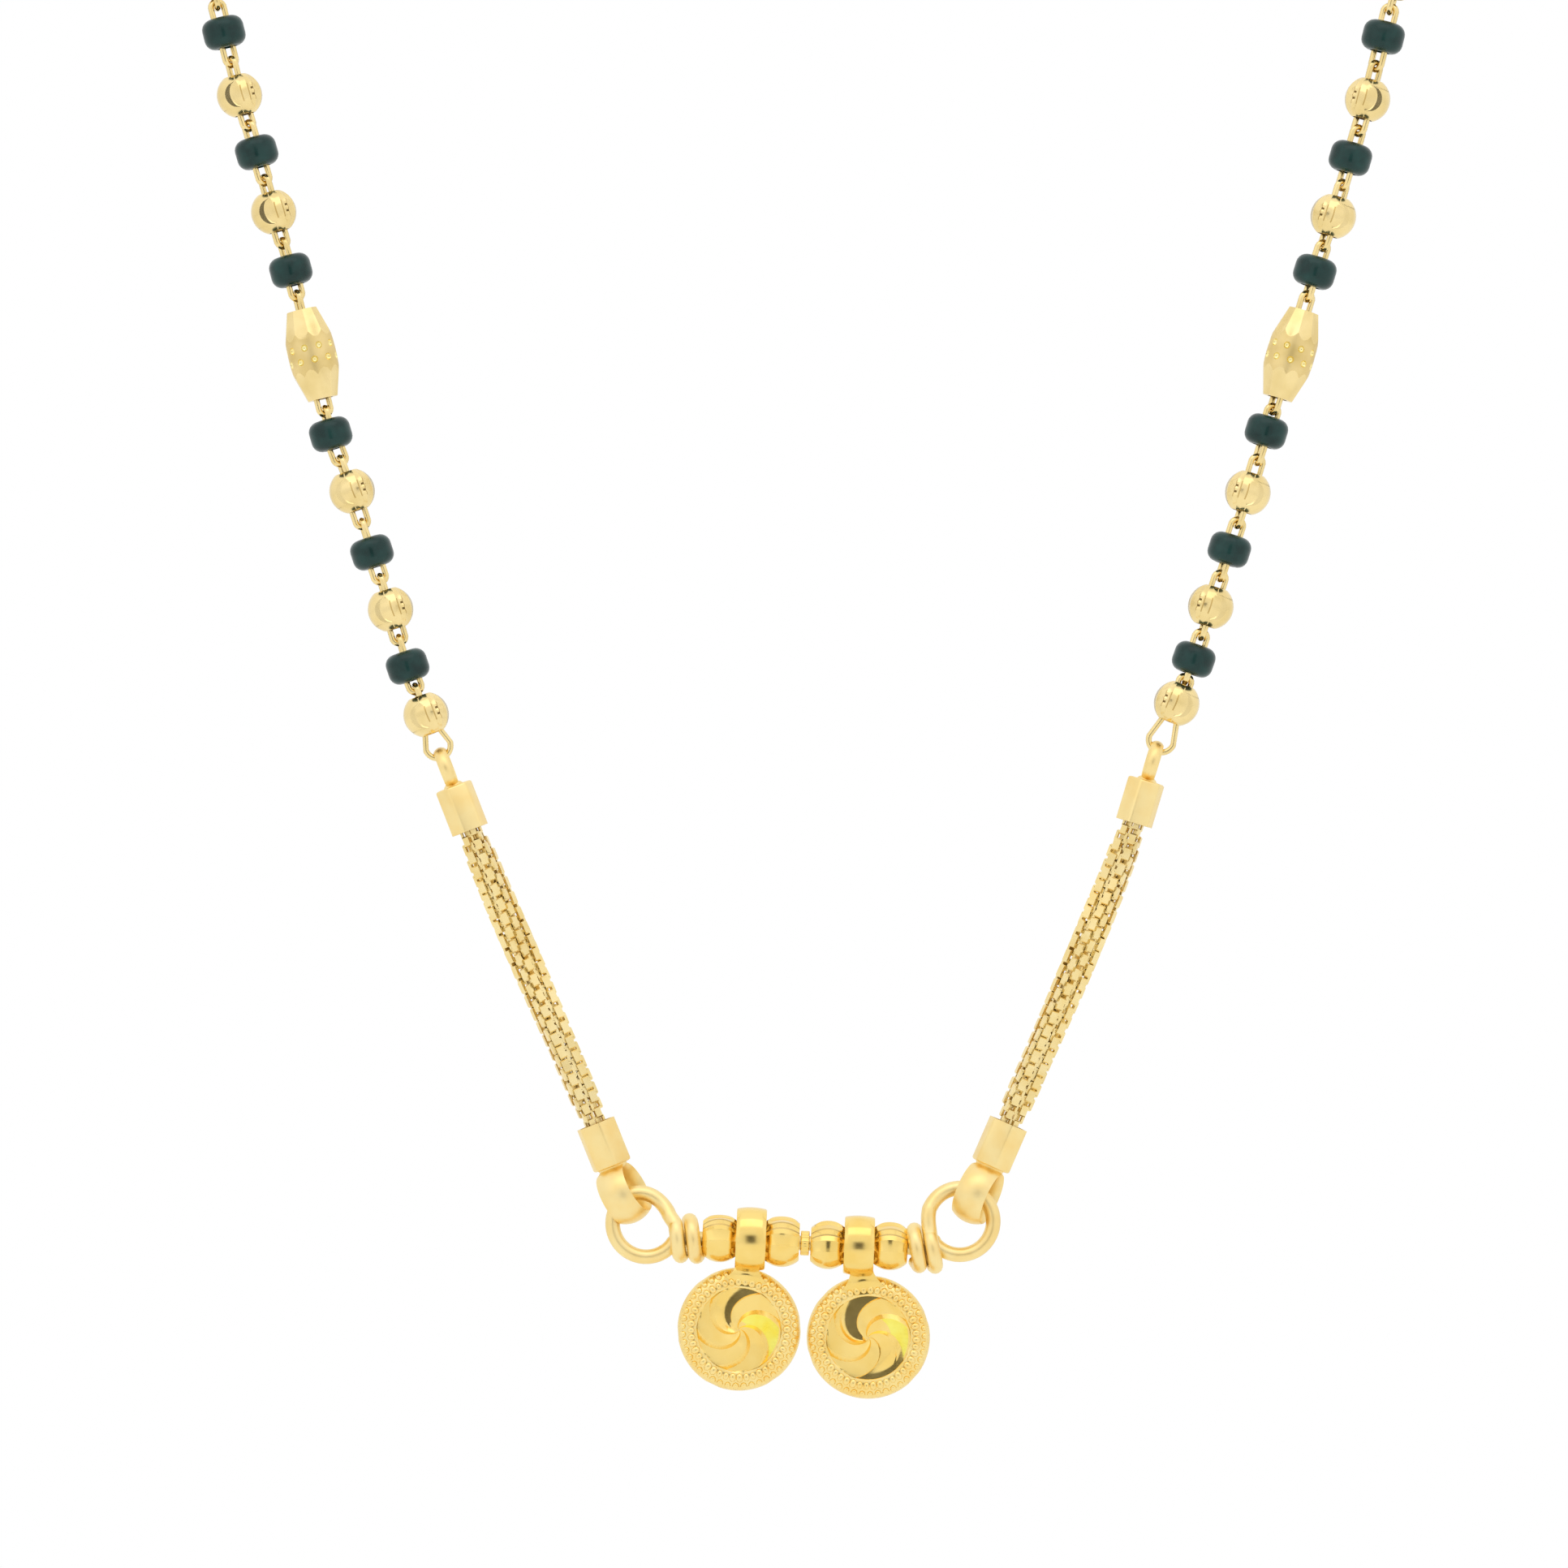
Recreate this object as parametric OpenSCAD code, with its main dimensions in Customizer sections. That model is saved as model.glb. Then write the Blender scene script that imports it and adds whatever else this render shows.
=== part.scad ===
// Mangalsutra: a gold and black bead necklace with two vati pendants on a wired bar.
// The origin is at the nape, where the closed loop rests. X runs along the bar,
// the pendants face -Y and +Z is up. All sizes are in millimetres.

/* [Loop] */
// Depth of the loop, from the front strings to the nape
loop_depth = 85; // [70:1:100]
// Height of the nape above the place where the strings turn back round the neck
nape_rise = 55; // [45:1:65]
// Sideways bow of the hidden part of the strings
side_bow = 55; // [50:1:60]

/* [String beads] */
// Diameter of a gold ball
ball_d = 3.2; // [3:0.05:3.3]
// Diameter of a black glass bead
black_d = 2.95; // [2.6:0.05:3.1]
// Length of a black glass bead along the string
black_len = 2.15; // [1.9:0.05:2.2]
// Rounding of a black bead's edges
black_round = 0.55; // [0.4:0.05:0.6]
// Diameter of a faceted barrel bead at its waist
barrel_d = 3.4; // [3:0.05:3.6]
// Diameter of a barrel bead at its ends
barrel_end_d = 2.45; // [2.3:0.05:2.6]
// Length of a barrel bead
barrel_len = 7; // [6.6:0.1:7.2]
// Facets round a barrel bead
barrel_sides = 10; // [8:1:12]
// Hole through every string bead, which the chain runs through
bead_bore = 1.68; // [1.64:0.01:1.7]

/* [Fine chain] */
// Wire of a chain link
link_wire = 0.33; // [0.28:0.01:0.35]
// Outer width of a chain link
link_w = 1.37; // [1.3:0.01:1.38]
// Play between two links that hook into each other
link_play = 0.12; // [0.1:0.01:0.15]

/* [Caps and bundles] */
// Upper cap, across its flats
upper_cap_flats = 2.4; // [2.35:0.05:2.5]
// Lower cap, across its flats
lower_cap_flats = 2.6; // [2.5:0.05:2.8]
// Hole of both caps, where the bundle goes in
cap_bore = 2.1; // [2.05:0.05:2.15]
// Side of the square bundle of four box chains
bundle_side = 1.84; // [1.7:0.02:1.9]
// Turn of the bundle along its length, in degrees
bundle_twist = 50; // [0:5:90]
// Outer diameter of the small band ring on an upper cap
small_ring_d = 3; // [2.8:0.05:3]
// Outer diameter of the large band ring on a lower cap
large_ring_d = 4.4; // [4.3:0.05:4.5]

/* [Bar] */
// Wire of the bar, its eyes and its wraps
bar_wire_d = 1.05; // [1:0.01:1.08]
// Outer diameter of an eye
eye_d = 5.75; // [5.7:0.01:5.8]
// Fall of the bar from left to right, in degrees
bar_tilt = 2.4; // [0:0.1:3]
// Diameter of a gold ball on the bar
bar_ball_d = 3.4; // [3.2:0.05:3.4]
// Length of a gold ball on the bar
bar_ball_len = 2.45; // [2.3:0.05:2.5]
// Space between two balls that a bail hangs in
bail_gap = 1.9; // [1.9:0.05:2]
// Length of the spacer between the two middle balls
spacer_len = 0.6; // [0.4:0.05:0.6]

/* [Pendants] */
// Diameter of a pendant's disc
disc_d = 8.66; // [8.4:0.02:8.7]
// Share of the disc's diameter that the swirl field takes
field_share = 0.64; // [0.6:0.01:0.66]
// Height of the disc from its back rim to its front
disc_h = 1.1; // [1:0.05:1.2]
// Granules in each of the two rows round the border
granules = 40; // [32:1:44]
// Blades of the swirl
blades = 8; // [6:1:9]
// Outer diameter of a bail
bail_d = 4.2; // [4.1:0.05:4.3]
// Width of a bail's strip
bail_w = 2.1; // [2:0.05:2.2]
// Thickness of a bail's strip
bail_wall = 0.45; // [0.35:0.05:0.45]

/* [Clasp] */
// Wire of the hook that closes the loop at the nape
hook_wire = 0.9; // [0.8:0.05:1]
// Diameter of each of the hook's two eyes, between wire middles
hook_eye_d = 3.4; // [3.3:0.05:3.5]
// Diameter of the end rings, between wire middles
end_ring_d = 2.6; // [2.6:0.05:2.8]
// Wire of the end rings
end_ring_wire = 0.55; // [0.5:0.05:0.6]

/* [Hidden] */
$fn = 48;
sides = ["left", "right"];
front_count = 12;
bar_ball_count = 4;

gold = [0.93, 0.74, 0.36];
black_glass = [0.08, 0.17, 0.18];

// Kinds of bead on the strings.
BLACK = 0;
BALL = 1;
BARREL = 2;

// Front beads of each string from the top down: kind, how far out from the middle,
// and how far below the place where the strings turn back.
left_beads = [
    [BLACK, 40.7, 2.3],
    [BALL, 39.6, 6.7],
    [BLACK, 38.4, 10.7],
    [BALL, 37.2, 14.9],
    [BLACK, 36.0, 19.0],
    [BARREL, 34.5, 24.9],
    [BLACK, 33.2, 30.5],
    [BALL, 31.7, 34.5],
    [BLACK, 30.3, 38.8],
    [BALL, 29.0, 42.8],
    [BLACK, 27.8, 46.8],
    [BALL, 26.5, 50.2]
];
right_beads = [
    [BLACK, 40.7, 2.6],
    [BALL, 39.6, 7.0],
    [BLACK, 38.4, 11.1],
    [BALL, 37.2, 15.2],
    [BLACK, 35.9, 19.1],
    [BARREL, 34.2, 24.9],
    [BLACK, 32.5, 30.3],
    [BALL, 31.2, 34.6],
    [BLACK, 29.9, 38.6],
    [BALL, 28.6, 42.6],
    [BLACK, 27.4, 46.3],
    [BALL, 26.2, 49.4]
];

// Lower ends of each side, as far out and down: top and bottom of the upper cap,
// top and bottom of the lower cap, and middle of the large ring.
left_ends = [[24.6, 55.2], [23.4, 58.3], [14.6, 78.9], [13.4, 81.9], [12.6, 83.8]];
right_ends = [[24.1, 54.8], [23.2, 57.8], [14.4, 78.9], [13.1, 81.9], [12.25, 83.8]];

// Bar: its middle and its two eyes, as far out and down.
bar_middle = [0.1, 87.3];
eye_at = [11.05, 85.9];

// Kinds of bead along one repeat of the hidden string, from the front round to the nape.
back_kinds = [BALL, BLACK, BARREL, BLACK, BALL, BLACK, BALL, BLACK];
small_pitch = 4.3;
barrel_pitch = 5.95;

// Distance from the nape at which the thin chain meets its end ring.
clasp_play = 0.1;
chain_end_play = 0.15;
hook_reach = hook_eye_d + end_ring_d - hook_wire / 2 - end_ring_wire / 2 - clasp_play;
chain_end = hook_reach + end_ring_wire / 2 + chain_end_play;

// Hidden route on the right, as round control points from the front to the nape.
route_up = [51.5, -loop_depth, -16];
route_bow = [side_bow, 0, 0];
route_end = [chain_end, 0, 0];

function side_sign(side) = side == "left" ? -1 : 1;
function beads_of(side) = side == "left" ? left_beads : right_beads;
function ends_of(side) = side == "left" ? left_ends : right_ends;

// A place in the front plane, from how far out and how far down it is.
function front(side, out_down) =
    [side_sign(side) * out_down[0], -loop_depth, -nape_rise - out_down[1]];

function unit(v) = v / norm(v);
function half_len(kind) =
    kind == BLACK ? black_len / 2
    : kind == BARREL ? barrel_len / 2
    : sqrt(pow(ball_d / 2, 2) - pow(bead_bore / 2, 2));

// Cubic curve through four control points, at share t of its length.
function bezier(p, t) =
    pow(1 - t, 3) * p[0] + 3 * pow(1 - t, 2) * t * p[1]
    + 3 * (1 - t) * t * t * p[2] + pow(t, 3) * p[3];
function bezier_slope(p, t) =
    3 * pow(1 - t, 2) * (p[1] - p[0]) + 6 * (1 - t) * t * (p[2] - p[1])
    + 3 * t * t * (p[3] - p[2]);

// Lengths along a curve at evenly spaced steps, and the step share at a given length.
curve_steps = 240;
function running_lengths(p) = [
    for (
        i = 0, sum = 0;
        i <= curve_steps;
        i = i + 1,
        sum = sum + norm(bezier(p, i / curve_steps) - bezier(p, (i - 1) / curve_steps))
    ) sum
];
function share_at(lengths, s, i = 1) =
    i >= len(lengths) - 1 || lengths[i] >= s
    ? (i - 1 + (s - lengths[i - 1]) / (lengths[i] - lengths[i - 1])) / (len(lengths) - 1)
    : share_at(lengths, s, i + 1);

// Centre of front bead i, counted from the top.
function bead_centre(side, i) =
    let (row = beads_of(side)[i])
    front(side, [row[1], row[2]]);

// How deep a soldered ring sinks into its cap.
ring_sink = 0.12;
function small_ring_centre(side) =
    let (
        e = ends_of(side),
        top = front(side, e[0]),
        up = unit(top - front(side, e[1]))
    ) top + up * (small_ring_d / 2 - ring_sink);

// Direction of the string at front bead i, pointing up.
function bead_up(side, i) =
    i == 0 ? unit(bead_centre(side, 0) - bead_centre(side, 1))
    : i == front_count - 1 ? unit(bead_centre(side, i - 1) - small_ring_centre(side))
    : unit(bead_centre(side, i - 1) - bead_centre(side, i + 1));

// Middle of the free gap between front beads i and i + 1.
function gap_middle(side, i) =
    let (
        a = bead_centre(side, i),
        b = bead_centre(side, i + 1),
        d = unit(b - a),
        from = half_len(beads_of(side)[i][0]),
        to = norm(b - a) - half_len(beads_of(side)[i + 1][0])
    ) a + d * (from + to) / 2;

// Places where two links hook into each other inside front bead i, from the top down.
// The last ball holds one above its middle, on the right only, and one below it.
hook_above = 0.6;
hook_below = 0.7;
barrel_hooks = 3;
function hooks_in_bead(side, i) =
    let (
        kind = beads_of(side)[i][0],
        c = bead_centre(side, i),
        up = bead_up(side, i)
    )
    i == front_count - 1
    ? (side == "left" ? [c - up * hook_below] : [c + up * hook_above, c - up * hook_below])
    : kind == BARREL
    ? let (
        a = gap_middle(side, i - 1),
        b = gap_middle(side, i)
    ) [for (k = [1 : barrel_hooks]) a + (b - a) * k / (barrel_hooks + 1)]
    : [c];

// All hooking places of the front chain, from the topmost bead down to the last ball.
function hooks(side) = [
    for (i = [0 : front_count - 1])
        each concat(
            hooks_in_bead(side, i),
            i < front_count - 1 ? [gap_middle(side, i)] : []
        )
];

function route(side) =
    let (m = side_sign(side), start = bead_centre(side, 0))
    [
        start,
        [m * route_up[0], route_up[1], route_up[2]],
        [m * route_bow[0], route_bow[1], route_bow[2]],
        [m * route_end[0], route_end[1], route_end[2]]
    ];

// Distances of the hidden beads from the topmost front bead, as rows of kind and distance.
function back_rows(k = 0, s = small_pitch, limit = 0) =
    let (
        kinds = len(back_kinds),
        kind = back_kinds[k % kinds],
        next = back_kinds[(k + 1) % kinds],
        step = kind == BARREL || next == BARREL ? barrel_pitch : small_pitch
    )
    s > limit ? [] : concat([[kind, s]], back_rows(k + 1, s + step, limit));

// Faces of a solid made of rings of n points each, with flat ends.
function tube_faces(rings, n) = concat(
    [
        for (j = [0 : rings - 2], k = [0 : n - 1])
            let (next = (k + 1) % n)
            each [
                [j * n + k, (j + 1) * n + k, (j + 1) * n + next],
                [j * n + k, (j + 1) * n + next, j * n + next]
            ]
    ],
    [[for (k = [0 : n - 1]) k]],
    [[for (k = [n - 1 : -1 : 0]) (rings - 1) * n + k]]
);

// Puts its children at p with their Z axis along d.
module along(p, d) {
    u = unit(d);
    translate(p)
        rotate([0, acos(u[2]), atan2(u[1], u[0])])
            children();
}

// The same for directions in the front plane: the children's Y axis stays on Y.
module upright(p, d) {
    translate(p)
        rotate([0, atan2(d[0], d[2]), 0])
            children();
}

// Puffed band ring with its axis on Z: both faces of the band are domed.
module band_ring(outer_d, thick, wide) {
    dome_r = (pow(wide / 2, 2) + pow(thick / 2, 2)) / thick;
    rotate_extrude()
        intersection() {
            translate([outer_d / 2 - dome_r, 0])
                circle(r = dome_r);
            translate([outer_d / 2 - thick + dome_r, 0])
                circle(r = dome_r);
        }
}

// Round end of a link: part of a ring in the XZ plane round a place on Z.
module link_round(z, r, first, sweep) {
    translate([0, 0, z])
        rotate([90, 0, 0])
            rotate([0, 0, first])
                rotate_extrude(angle = sweep)
                    translate([r, 0])
                        circle(d = link_wire, $fn = 24);
}

// Oval link in the XZ plane between two wire middles on Z, with a round at each end.
// The legs are a hair thinner than the wire and sink into the rounds.
leg_share = 0.96;
leg_sink = 0.03;
module link(low, high, low_r, high_r) {
    apart = high - low - low_r - high_r;
    lean = asin((low_r - high_r) / apart);
    leg_len = apart * cos(lean);
    link_round(low + low_r, low_r, 180 - lean, 180 + 2 * lean);
    link_round(high - high_r, high_r, lean, 180 - 2 * lean);
    for (m = [-1, 1])
        translate([m * low_r * cos(lean), 0, low + low_r + low_r * sin(lean)])
            rotate([0, -m * lean, 0])
                translate([0, 0, -leg_sink])
                    cylinder(d = link_wire * leg_share, h = leg_len + 2 * leg_sink, $fn = 24);
}

module ball_bead(d, bore) {
    difference() {
        sphere(d = d);
        cylinder(d = bore, h = 2 * d, center = true);
    }
}

module black_bead() {
    straight = black_len / 2 - black_round;
    inner = black_d / 2 - black_round;
    difference() {
        union() {
            cylinder(d = 2 * inner, h = black_len, center = true);
            cylinder(d = black_d, h = 2 * straight, center = true);
            for (m = [-1, 1])
                translate([0, 0, m * straight])
                    rotate_extrude()
                        translate([inner, 0])
                            circle(r = black_round);
        }
        cylinder(d = bead_bore, h = 2 * black_len, center = true);
    }
}

// Barrel with flat petal facets: rings of points whose corners turn half a facet in the middle.
module barrel_bead() {
    end_r = barrel_end_d / 2;
    mid_r = barrel_d / 2;
    // Share of the half length and radius of each ring of corners.
    rings = [
        [-1, end_r],
        [-0.62, end_r + 0.62 * (mid_r - end_r)],
        [-0.22, mid_r],
        [0.22, mid_r],
        [0.62, end_r + 0.62 * (mid_r - end_r)],
        [1, end_r]
    ];
    n = barrel_sides;
    points = [
        for (ring = rings, k = [0 : n - 1])
            let (a = 360 * k / n)
            [ring[1] * cos(a), ring[1] * sin(a), ring[0] * barrel_len / 2]
    ];
    difference() {
        polyhedron(points, tube_faces(len(rings), n));
        cylinder(d = bead_bore, h = 2 * barrel_len, center = true);
    }
}

module string_bead(kind) {
    if (kind == BLACK)
        black_bead();
    else if (kind == BALL)
        ball_bead(ball_d, bead_bore);
    else
        barrel_bead();
}

module front_bead(side, i) {
    kind = beads_of(side)[i - 1][0];
    color(kind == BLACK ? black_glass : gold)
        upright(bead_centre(side, i - 1), bead_up(side, i - 1))
            string_bead(kind);
}

// Real links from the small ring up to the topmost front bead. Each is turned
// a quarter against the next one.
module front_chain(side) {
    points = hooks(side);
    count = len(points);
    round_r = (link_w - link_wire) / 2;
    reach = (link_wire + link_play) / 2;
    ring = small_ring_centre(side);
    color(gold) {
        for (k = [0 : count - 2]) {
            d = unit(points[k] - points[k + 1]);
            turned = (count - 1 - k) % 2 == 0 ? 0 : 90;
            upright(points[k + 1], d)
                rotate([0, 0, turned])
                    link(-reach, norm(points[k] - points[k + 1]) + reach, round_r, round_r);
        }
        last = points[count - 1];
        up = unit(last - ring);
        low = small_ring_d / 2 - small_ring_wall - link_wire / 2 - link_play;
        upright(ring, up)
            link(low, norm(last - ring) + reach, ring_link_r, ring_link_top_r);
    }
}

// Plain eight-sided tube for the hidden chain, along the route.
tube_rings = 38;
tube_sides = 8;
tube_d = 0.8 * link_w;
module back_chain(side) {
    p = route(side);
    lengths = running_lengths(p);
    from = link_wire + 2 * link_play;
    total = lengths[curve_steps];
    tilt_ref = unit([0, 1, -1]);
    points = [
        for (j = [0 : tube_rings - 1])
            let (
                s = from + (total - from) * j / (tube_rings - 1),
                t = share_at(lengths, s),
                c = bezier(p, t),
                d = unit(bezier_slope(p, t)),
                n = unit(cross(d, tilt_ref)),
                b = cross(d, n)
            )
            for (k = [0 : tube_sides - 1])
                c + tube_d / 2 * (cos(360 * k / tube_sides) * n + sin(360 * k / tube_sides) * b)
    ];
    color(gold)
        polyhedron(points, tube_faces(tube_rings, tube_sides));
}

// Beads of the hidden string, the black ones or the gold ones.
module back_beads(side, black) {
    p = route(side);
    lengths = running_lengths(p);
    rows = back_rows(limit = lengths[curve_steps] - small_pitch / 2);
    color(black ? black_glass : gold)
        for (row = rows)
            if ((row[0] == BLACK) == black) {
                t = share_at(lengths, row[1]);
                along(bezier(p, t), bezier_slope(p, t))
                    string_bead(row[0]);
            }
}

module end_ring(side) {
    color(gold)
        translate([side_sign(side) * (hook_reach - end_ring_d / 2), 0, 0])
            rotate_extrude()
                translate([end_ring_d / 2, 0])
                    circle(d = end_ring_wire, $fn = 24);
}

// S-shaped hook, standing on edge between the end rings, with a small ball on each tip.
hook_sweep = 280;
hook_tip_d = 1.2 * hook_wire;
module clasp_hook() {
    color(gold)
        for (m = [0, 180])
            rotate([90, m, 0])
                translate([hook_eye_d / 2, 0, 0]) {
                    rotate([0, 0, 180])
                        rotate_extrude(angle = hook_sweep)
                            translate([hook_eye_d / 2, 0])
                                circle(d = hook_wire, $fn = 24);
                    rotate([0, 0, 180 + hook_sweep])
                        translate([hook_eye_d / 2, 0, 0])
                            sphere(d = hook_tip_d);
                }
}

// Six-sided cap, open at its foot, with its top closed. The foot is at the origin.
cap_shoulder = 0.45;
module cap(flats, height) {
    difference() {
        cylinder(d = flats / cos(30), h = height, $fn = 6);
        translate([0, 0, -1])
            cylinder(d = cap_bore, h = height - cap_shoulder + 1);
    }
}

// Band of the small ring, and the rounds of the lowest link, which goes through it.
small_ring_wall = 0.45;
small_ring_w = 0.9;
ring_link_r = 0.9;
ring_link_top_r = 0.4;
upper_cap_turn = 12;
module upper_cap(side) {
    e = ends_of(side);
    top = front(side, e[0]);
    foot = front(side, e[1]);
    color(gold) {
        upright(foot, top - foot)
            rotate([0, 0, upper_cap_turn])
                cap(upper_cap_flats, norm(top - foot));
        upright(small_ring_centre(side), top - foot)
            rotate([0, 90, 0])
                band_ring(small_ring_d, small_ring_wall, small_ring_w);
    }
}

// Band of the large ring. It leans with its string, left and right, and turns its
// right side a little to the front.
large_ring_wall = 0.65;
large_ring_w = 2.2;
large_ring_lean = [29, 23];
large_ring_turn = 16;
lower_cap_turn = 18;
module lower_cap(side) {
    e = ends_of(side);
    lean = side == "left" ? -large_ring_lean[0] : large_ring_lean[1];
    foot = front(side, e[2]);
    top = front(side, e[3]);
    color(gold) {
        upright(foot, top - foot)
            rotate([0, 0, lower_cap_turn])
                cap(lower_cap_flats, norm(top - foot));
        translate(front(side, e[4]))
            rotate([0, lean, 0])
                rotate([0, 0, -large_ring_turn])
                    rotate([0, 90, 0])
                        band_ring(large_ring_d, large_ring_wall, large_ring_w);
    }
}

// Bundle of four box chains as one solid: a square with cut corners and a groove
// down the middle of each side, slowly turned, and pinched where it enters the caps.
bundle_rings = 15;
bundle_corner = 0.22;
bundle_groove = 0.1;
bundle_inset = 1.5;
bundle_pull = 5;
bundle_pinch = 0.77;
pinch_end = 0.2;
pinch_fade = 1.6;
module bundle(side) {
    e = ends_of(side);
    up_top = front(side, e[0]);
    up_foot = front(side, e[1]);
    low_foot = front(side, e[2]);
    low_top = front(side, e[3]);
    p = [
        up_foot + unit(up_top - up_foot) * bundle_inset,
        up_foot + unit(up_foot - up_top) * bundle_pull,
        low_foot + unit(low_foot - low_top) * bundle_pull,
        low_foot + unit(low_top - low_foot) * bundle_inset
    ];
    h = bundle_side / 2;
    c = h - bundle_corner;
    g = h - bundle_groove;
    outline = [
        for (q = [0 : 3])
            let (a = 90 * q)
            for (v = [[g, 0], [h, c], [c, h]])
                [v[0] * cos(a) - v[1] * sin(a), v[0] * sin(a) + v[1] * cos(a)]
    ];
    points = [
        for (j = [0 : bundle_rings - 1])
            let (
                t = j / (bundle_rings - 1),
                d = unit(bezier_slope(p, t)),
                b = [0, 1, 0],
                x = cross(b, d),
                from_end = min(t, 1 - t) * norm(p[3] - p[0]),
                grow = min(max((from_end - bundle_inset - pinch_end) / pinch_fade, 0), 1),
                size = bundle_pinch + (1 - bundle_pinch) * grow,
                a = bundle_twist * t
            )
            for (v = outline)
                bezier(p, t)
                + size * (v[0] * cos(a) - v[1] * sin(a)) * x
                + size * (v[0] * sin(a) + v[1] * cos(a)) * b
    ];
    color(gold)
        polyhedron(points, tube_faces(bundle_rings, len(outline)));
}

// Puts its children on the bar: X along the bar, at distance s from its middle.
module on_bar(s) {
    translate(front("right", bar_middle))
        rotate([0, bar_tilt, 0])
            translate([s, 0, 0])
                children();
}

// Two wraps of the bar's wire round itself beside each eye, on a thicker core.
wrap_at = [8.1, 9.1];
wrap_r = 1.25;
wrap_lean = 10;
wrap_core_d = 1.7;
wrap_core_from = 7.4;
wrap_core_to = 9.7;
module bar_wire() {
    color(gold) {
        on_bar(0)
            rotate([0, 90, 0])
                cylinder(d = bar_wire_d, h = wrap_core_from + wrap_core_to, center = true);
        for (side = sides) {
            translate(front(side, eye_at))
                rotate([90, 0, 0])
                    rotate_extrude()
                        translate([(eye_d - bar_wire_d) / 2, 0])
                            circle(d = bar_wire_d, $fn = 24);
            on_bar(side_sign(side) * wrap_core_from)
                rotate([0, side_sign(side) * 90, 0])
                    cylinder(d = wrap_core_d, h = wrap_core_to - wrap_core_from);
            for (s = wrap_at)
                on_bar(side_sign(side) * s)
                    rotate([0, 90 - wrap_lean, 0])
                        rotate_extrude()
                            translate([wrap_r, 0])
                                circle(d = bar_wire_d, $fn = 24);
        }
    }
}

// Middle of each ball on the bar, and of each bail.
spacer_play = 0.1;
ball_inner_at = spacer_len / 2 + spacer_play + bar_ball_len / 2;
bail_at = ball_inner_at + bar_ball_len / 2 + bail_gap / 2;
ball_outer_at = bail_at + bail_gap / 2 + bar_ball_len / 2;
bar_ball_at = [-ball_outer_at, -ball_inner_at, ball_inner_at, ball_outer_at];
bar_play = 0.25;
bar_bore = bar_wire_d + bar_play;

module bar_ball(i) {
    color(gold)
        on_bar(bar_ball_at[i - 1])
            rotate([0, 90, 0])
                difference() {
                    intersection() {
                        sphere(d = bar_ball_d);
                        cylinder(d = 2 * bar_ball_d, h = bar_ball_len, center = true);
                    }
                    cylinder(d = bar_bore, h = 2 * bar_ball_len, center = true);
                }
}

spacer_d = 1.75;
module bar_spacer() {
    color(gold)
        on_bar(0)
            rotate([0, 90, 0])
                difference() {
                    cylinder(d = spacer_d, h = spacer_len, center = true);
                    cylinder(d = bar_bore, h = 2 * spacer_len, center = true);
                }
}

// Lean of each pendant against the bar's square, in degrees, and the distance from the
// bar down to the middle of its disc: left, then right.
pendant_lean = [5.2, -8.2];
pendant_drop = [6.27, 6.5];

// Disc with its axis on Z and its front towards +Z, its middle at the origin: a domed
// border round a sunk field, over a shallow cup at the back.
shell = 0.4;
rim_h = 0.3;
border_fall = 0.1;
crest_w = 0.25;
field_sink = 0.3;
field_swell = 0.1;
cup_rim = 0.35;
module disc() {
    r = disc_d / 2;
    field_r = r * field_share;
    back = -disc_h / 2;
    crown = disc_h / 2;
    difference() {
        rotate_extrude()
            polygon([
                [0, back],
                [r, back],
                [r, back + rim_h],
                [(r + field_r + crest_w) / 2, crown - border_fall],
                [field_r + crest_w, crown],
                [field_r, crown - field_sink],
                [0, crown - field_sink + field_swell]
            ]);
        translate([0, 0, back - 1])
            cylinder(r1 = r - cup_rim, r2 = field_r, h = 1 + disc_h - field_sink - shell);
    }
}

// Rows of granules on the border: share of the way from the field's edge to the rim,
// and depth below the crest.
granule_d = 0.44;
granule_rows = [[0.36, 0.06], [0.78, 0.42]];
module granulation() {
    r = disc_d / 2;
    field_r = r * field_share;
    for (row = granule_rows, k = [0 : granules - 1])
        rotate([0, 0, 360 * k / granules])
            translate([field_r + (r - field_r) * row[0], 0, disc_h / 2 - row[1]])
                sphere(d = granule_d, $fn = 16);
}

// Curved ridges that whirl out from near the middle of the field to its edge.
blade_w = 0.34;
blade_z = 0.3;
blade_first = 30;
blade_sweep = 124;
module swirl() {
    arc_r = disc_d / 4 * field_share;
    for (k = [0 : blades - 1])
        rotate([0, 0, 360 * k / blades])
            translate([arc_r, 0, disc_h / 2 - blade_z])
                rotate([0, 0, blade_first])
                    rotate_extrude(angle = blade_sweep)
                        translate([arc_r, 0])
                            circle(d = blade_w, $fn = 24);
}

// Neck from the bail to the disc: its width at the top and at the foot, its thickness,
// and how deep it goes into the bail's strip and over the disc's rim.
neck_w = 1.7;
neck_flare = 3.4;
neck_thick = 0.9;
neck_in_bail = 0.09;
neck_in_disc = 0.75;
module pendant(side) {
    k = side == "left" ? 0 : 1;
    drop = pendant_drop[k];
    top = -bail_d / 2 + bail_wall - neck_in_bail;
    foot = -drop + disc_d / 2 - neck_in_disc;
    color(gold)
        on_bar(side_sign(side) * bail_at) {
            rotate([0, 90, 0])
                rotate_extrude()
                    translate([bail_d / 2 - bail_wall, -bail_w / 2])
                        square([bail_wall, bail_w]);
            rotate([0, pendant_lean[k], 0]) {
                translate([0, 0, -drop])
                    rotate([90, 0, 0]) {
                        disc();
                        granulation();
                        swirl();
                    }
                translate([0, neck_thick / 2, 0])
                    rotate([90, 0, 0])
                        linear_extrude(height = neck_thick)
                            polygon([
                                [-neck_w / 2, top],
                                [neck_w / 2, top],
                                [neck_flare / 2, foot],
                                [-neck_flare / 2, foot]
                            ]);
            }
        }
}

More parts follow.
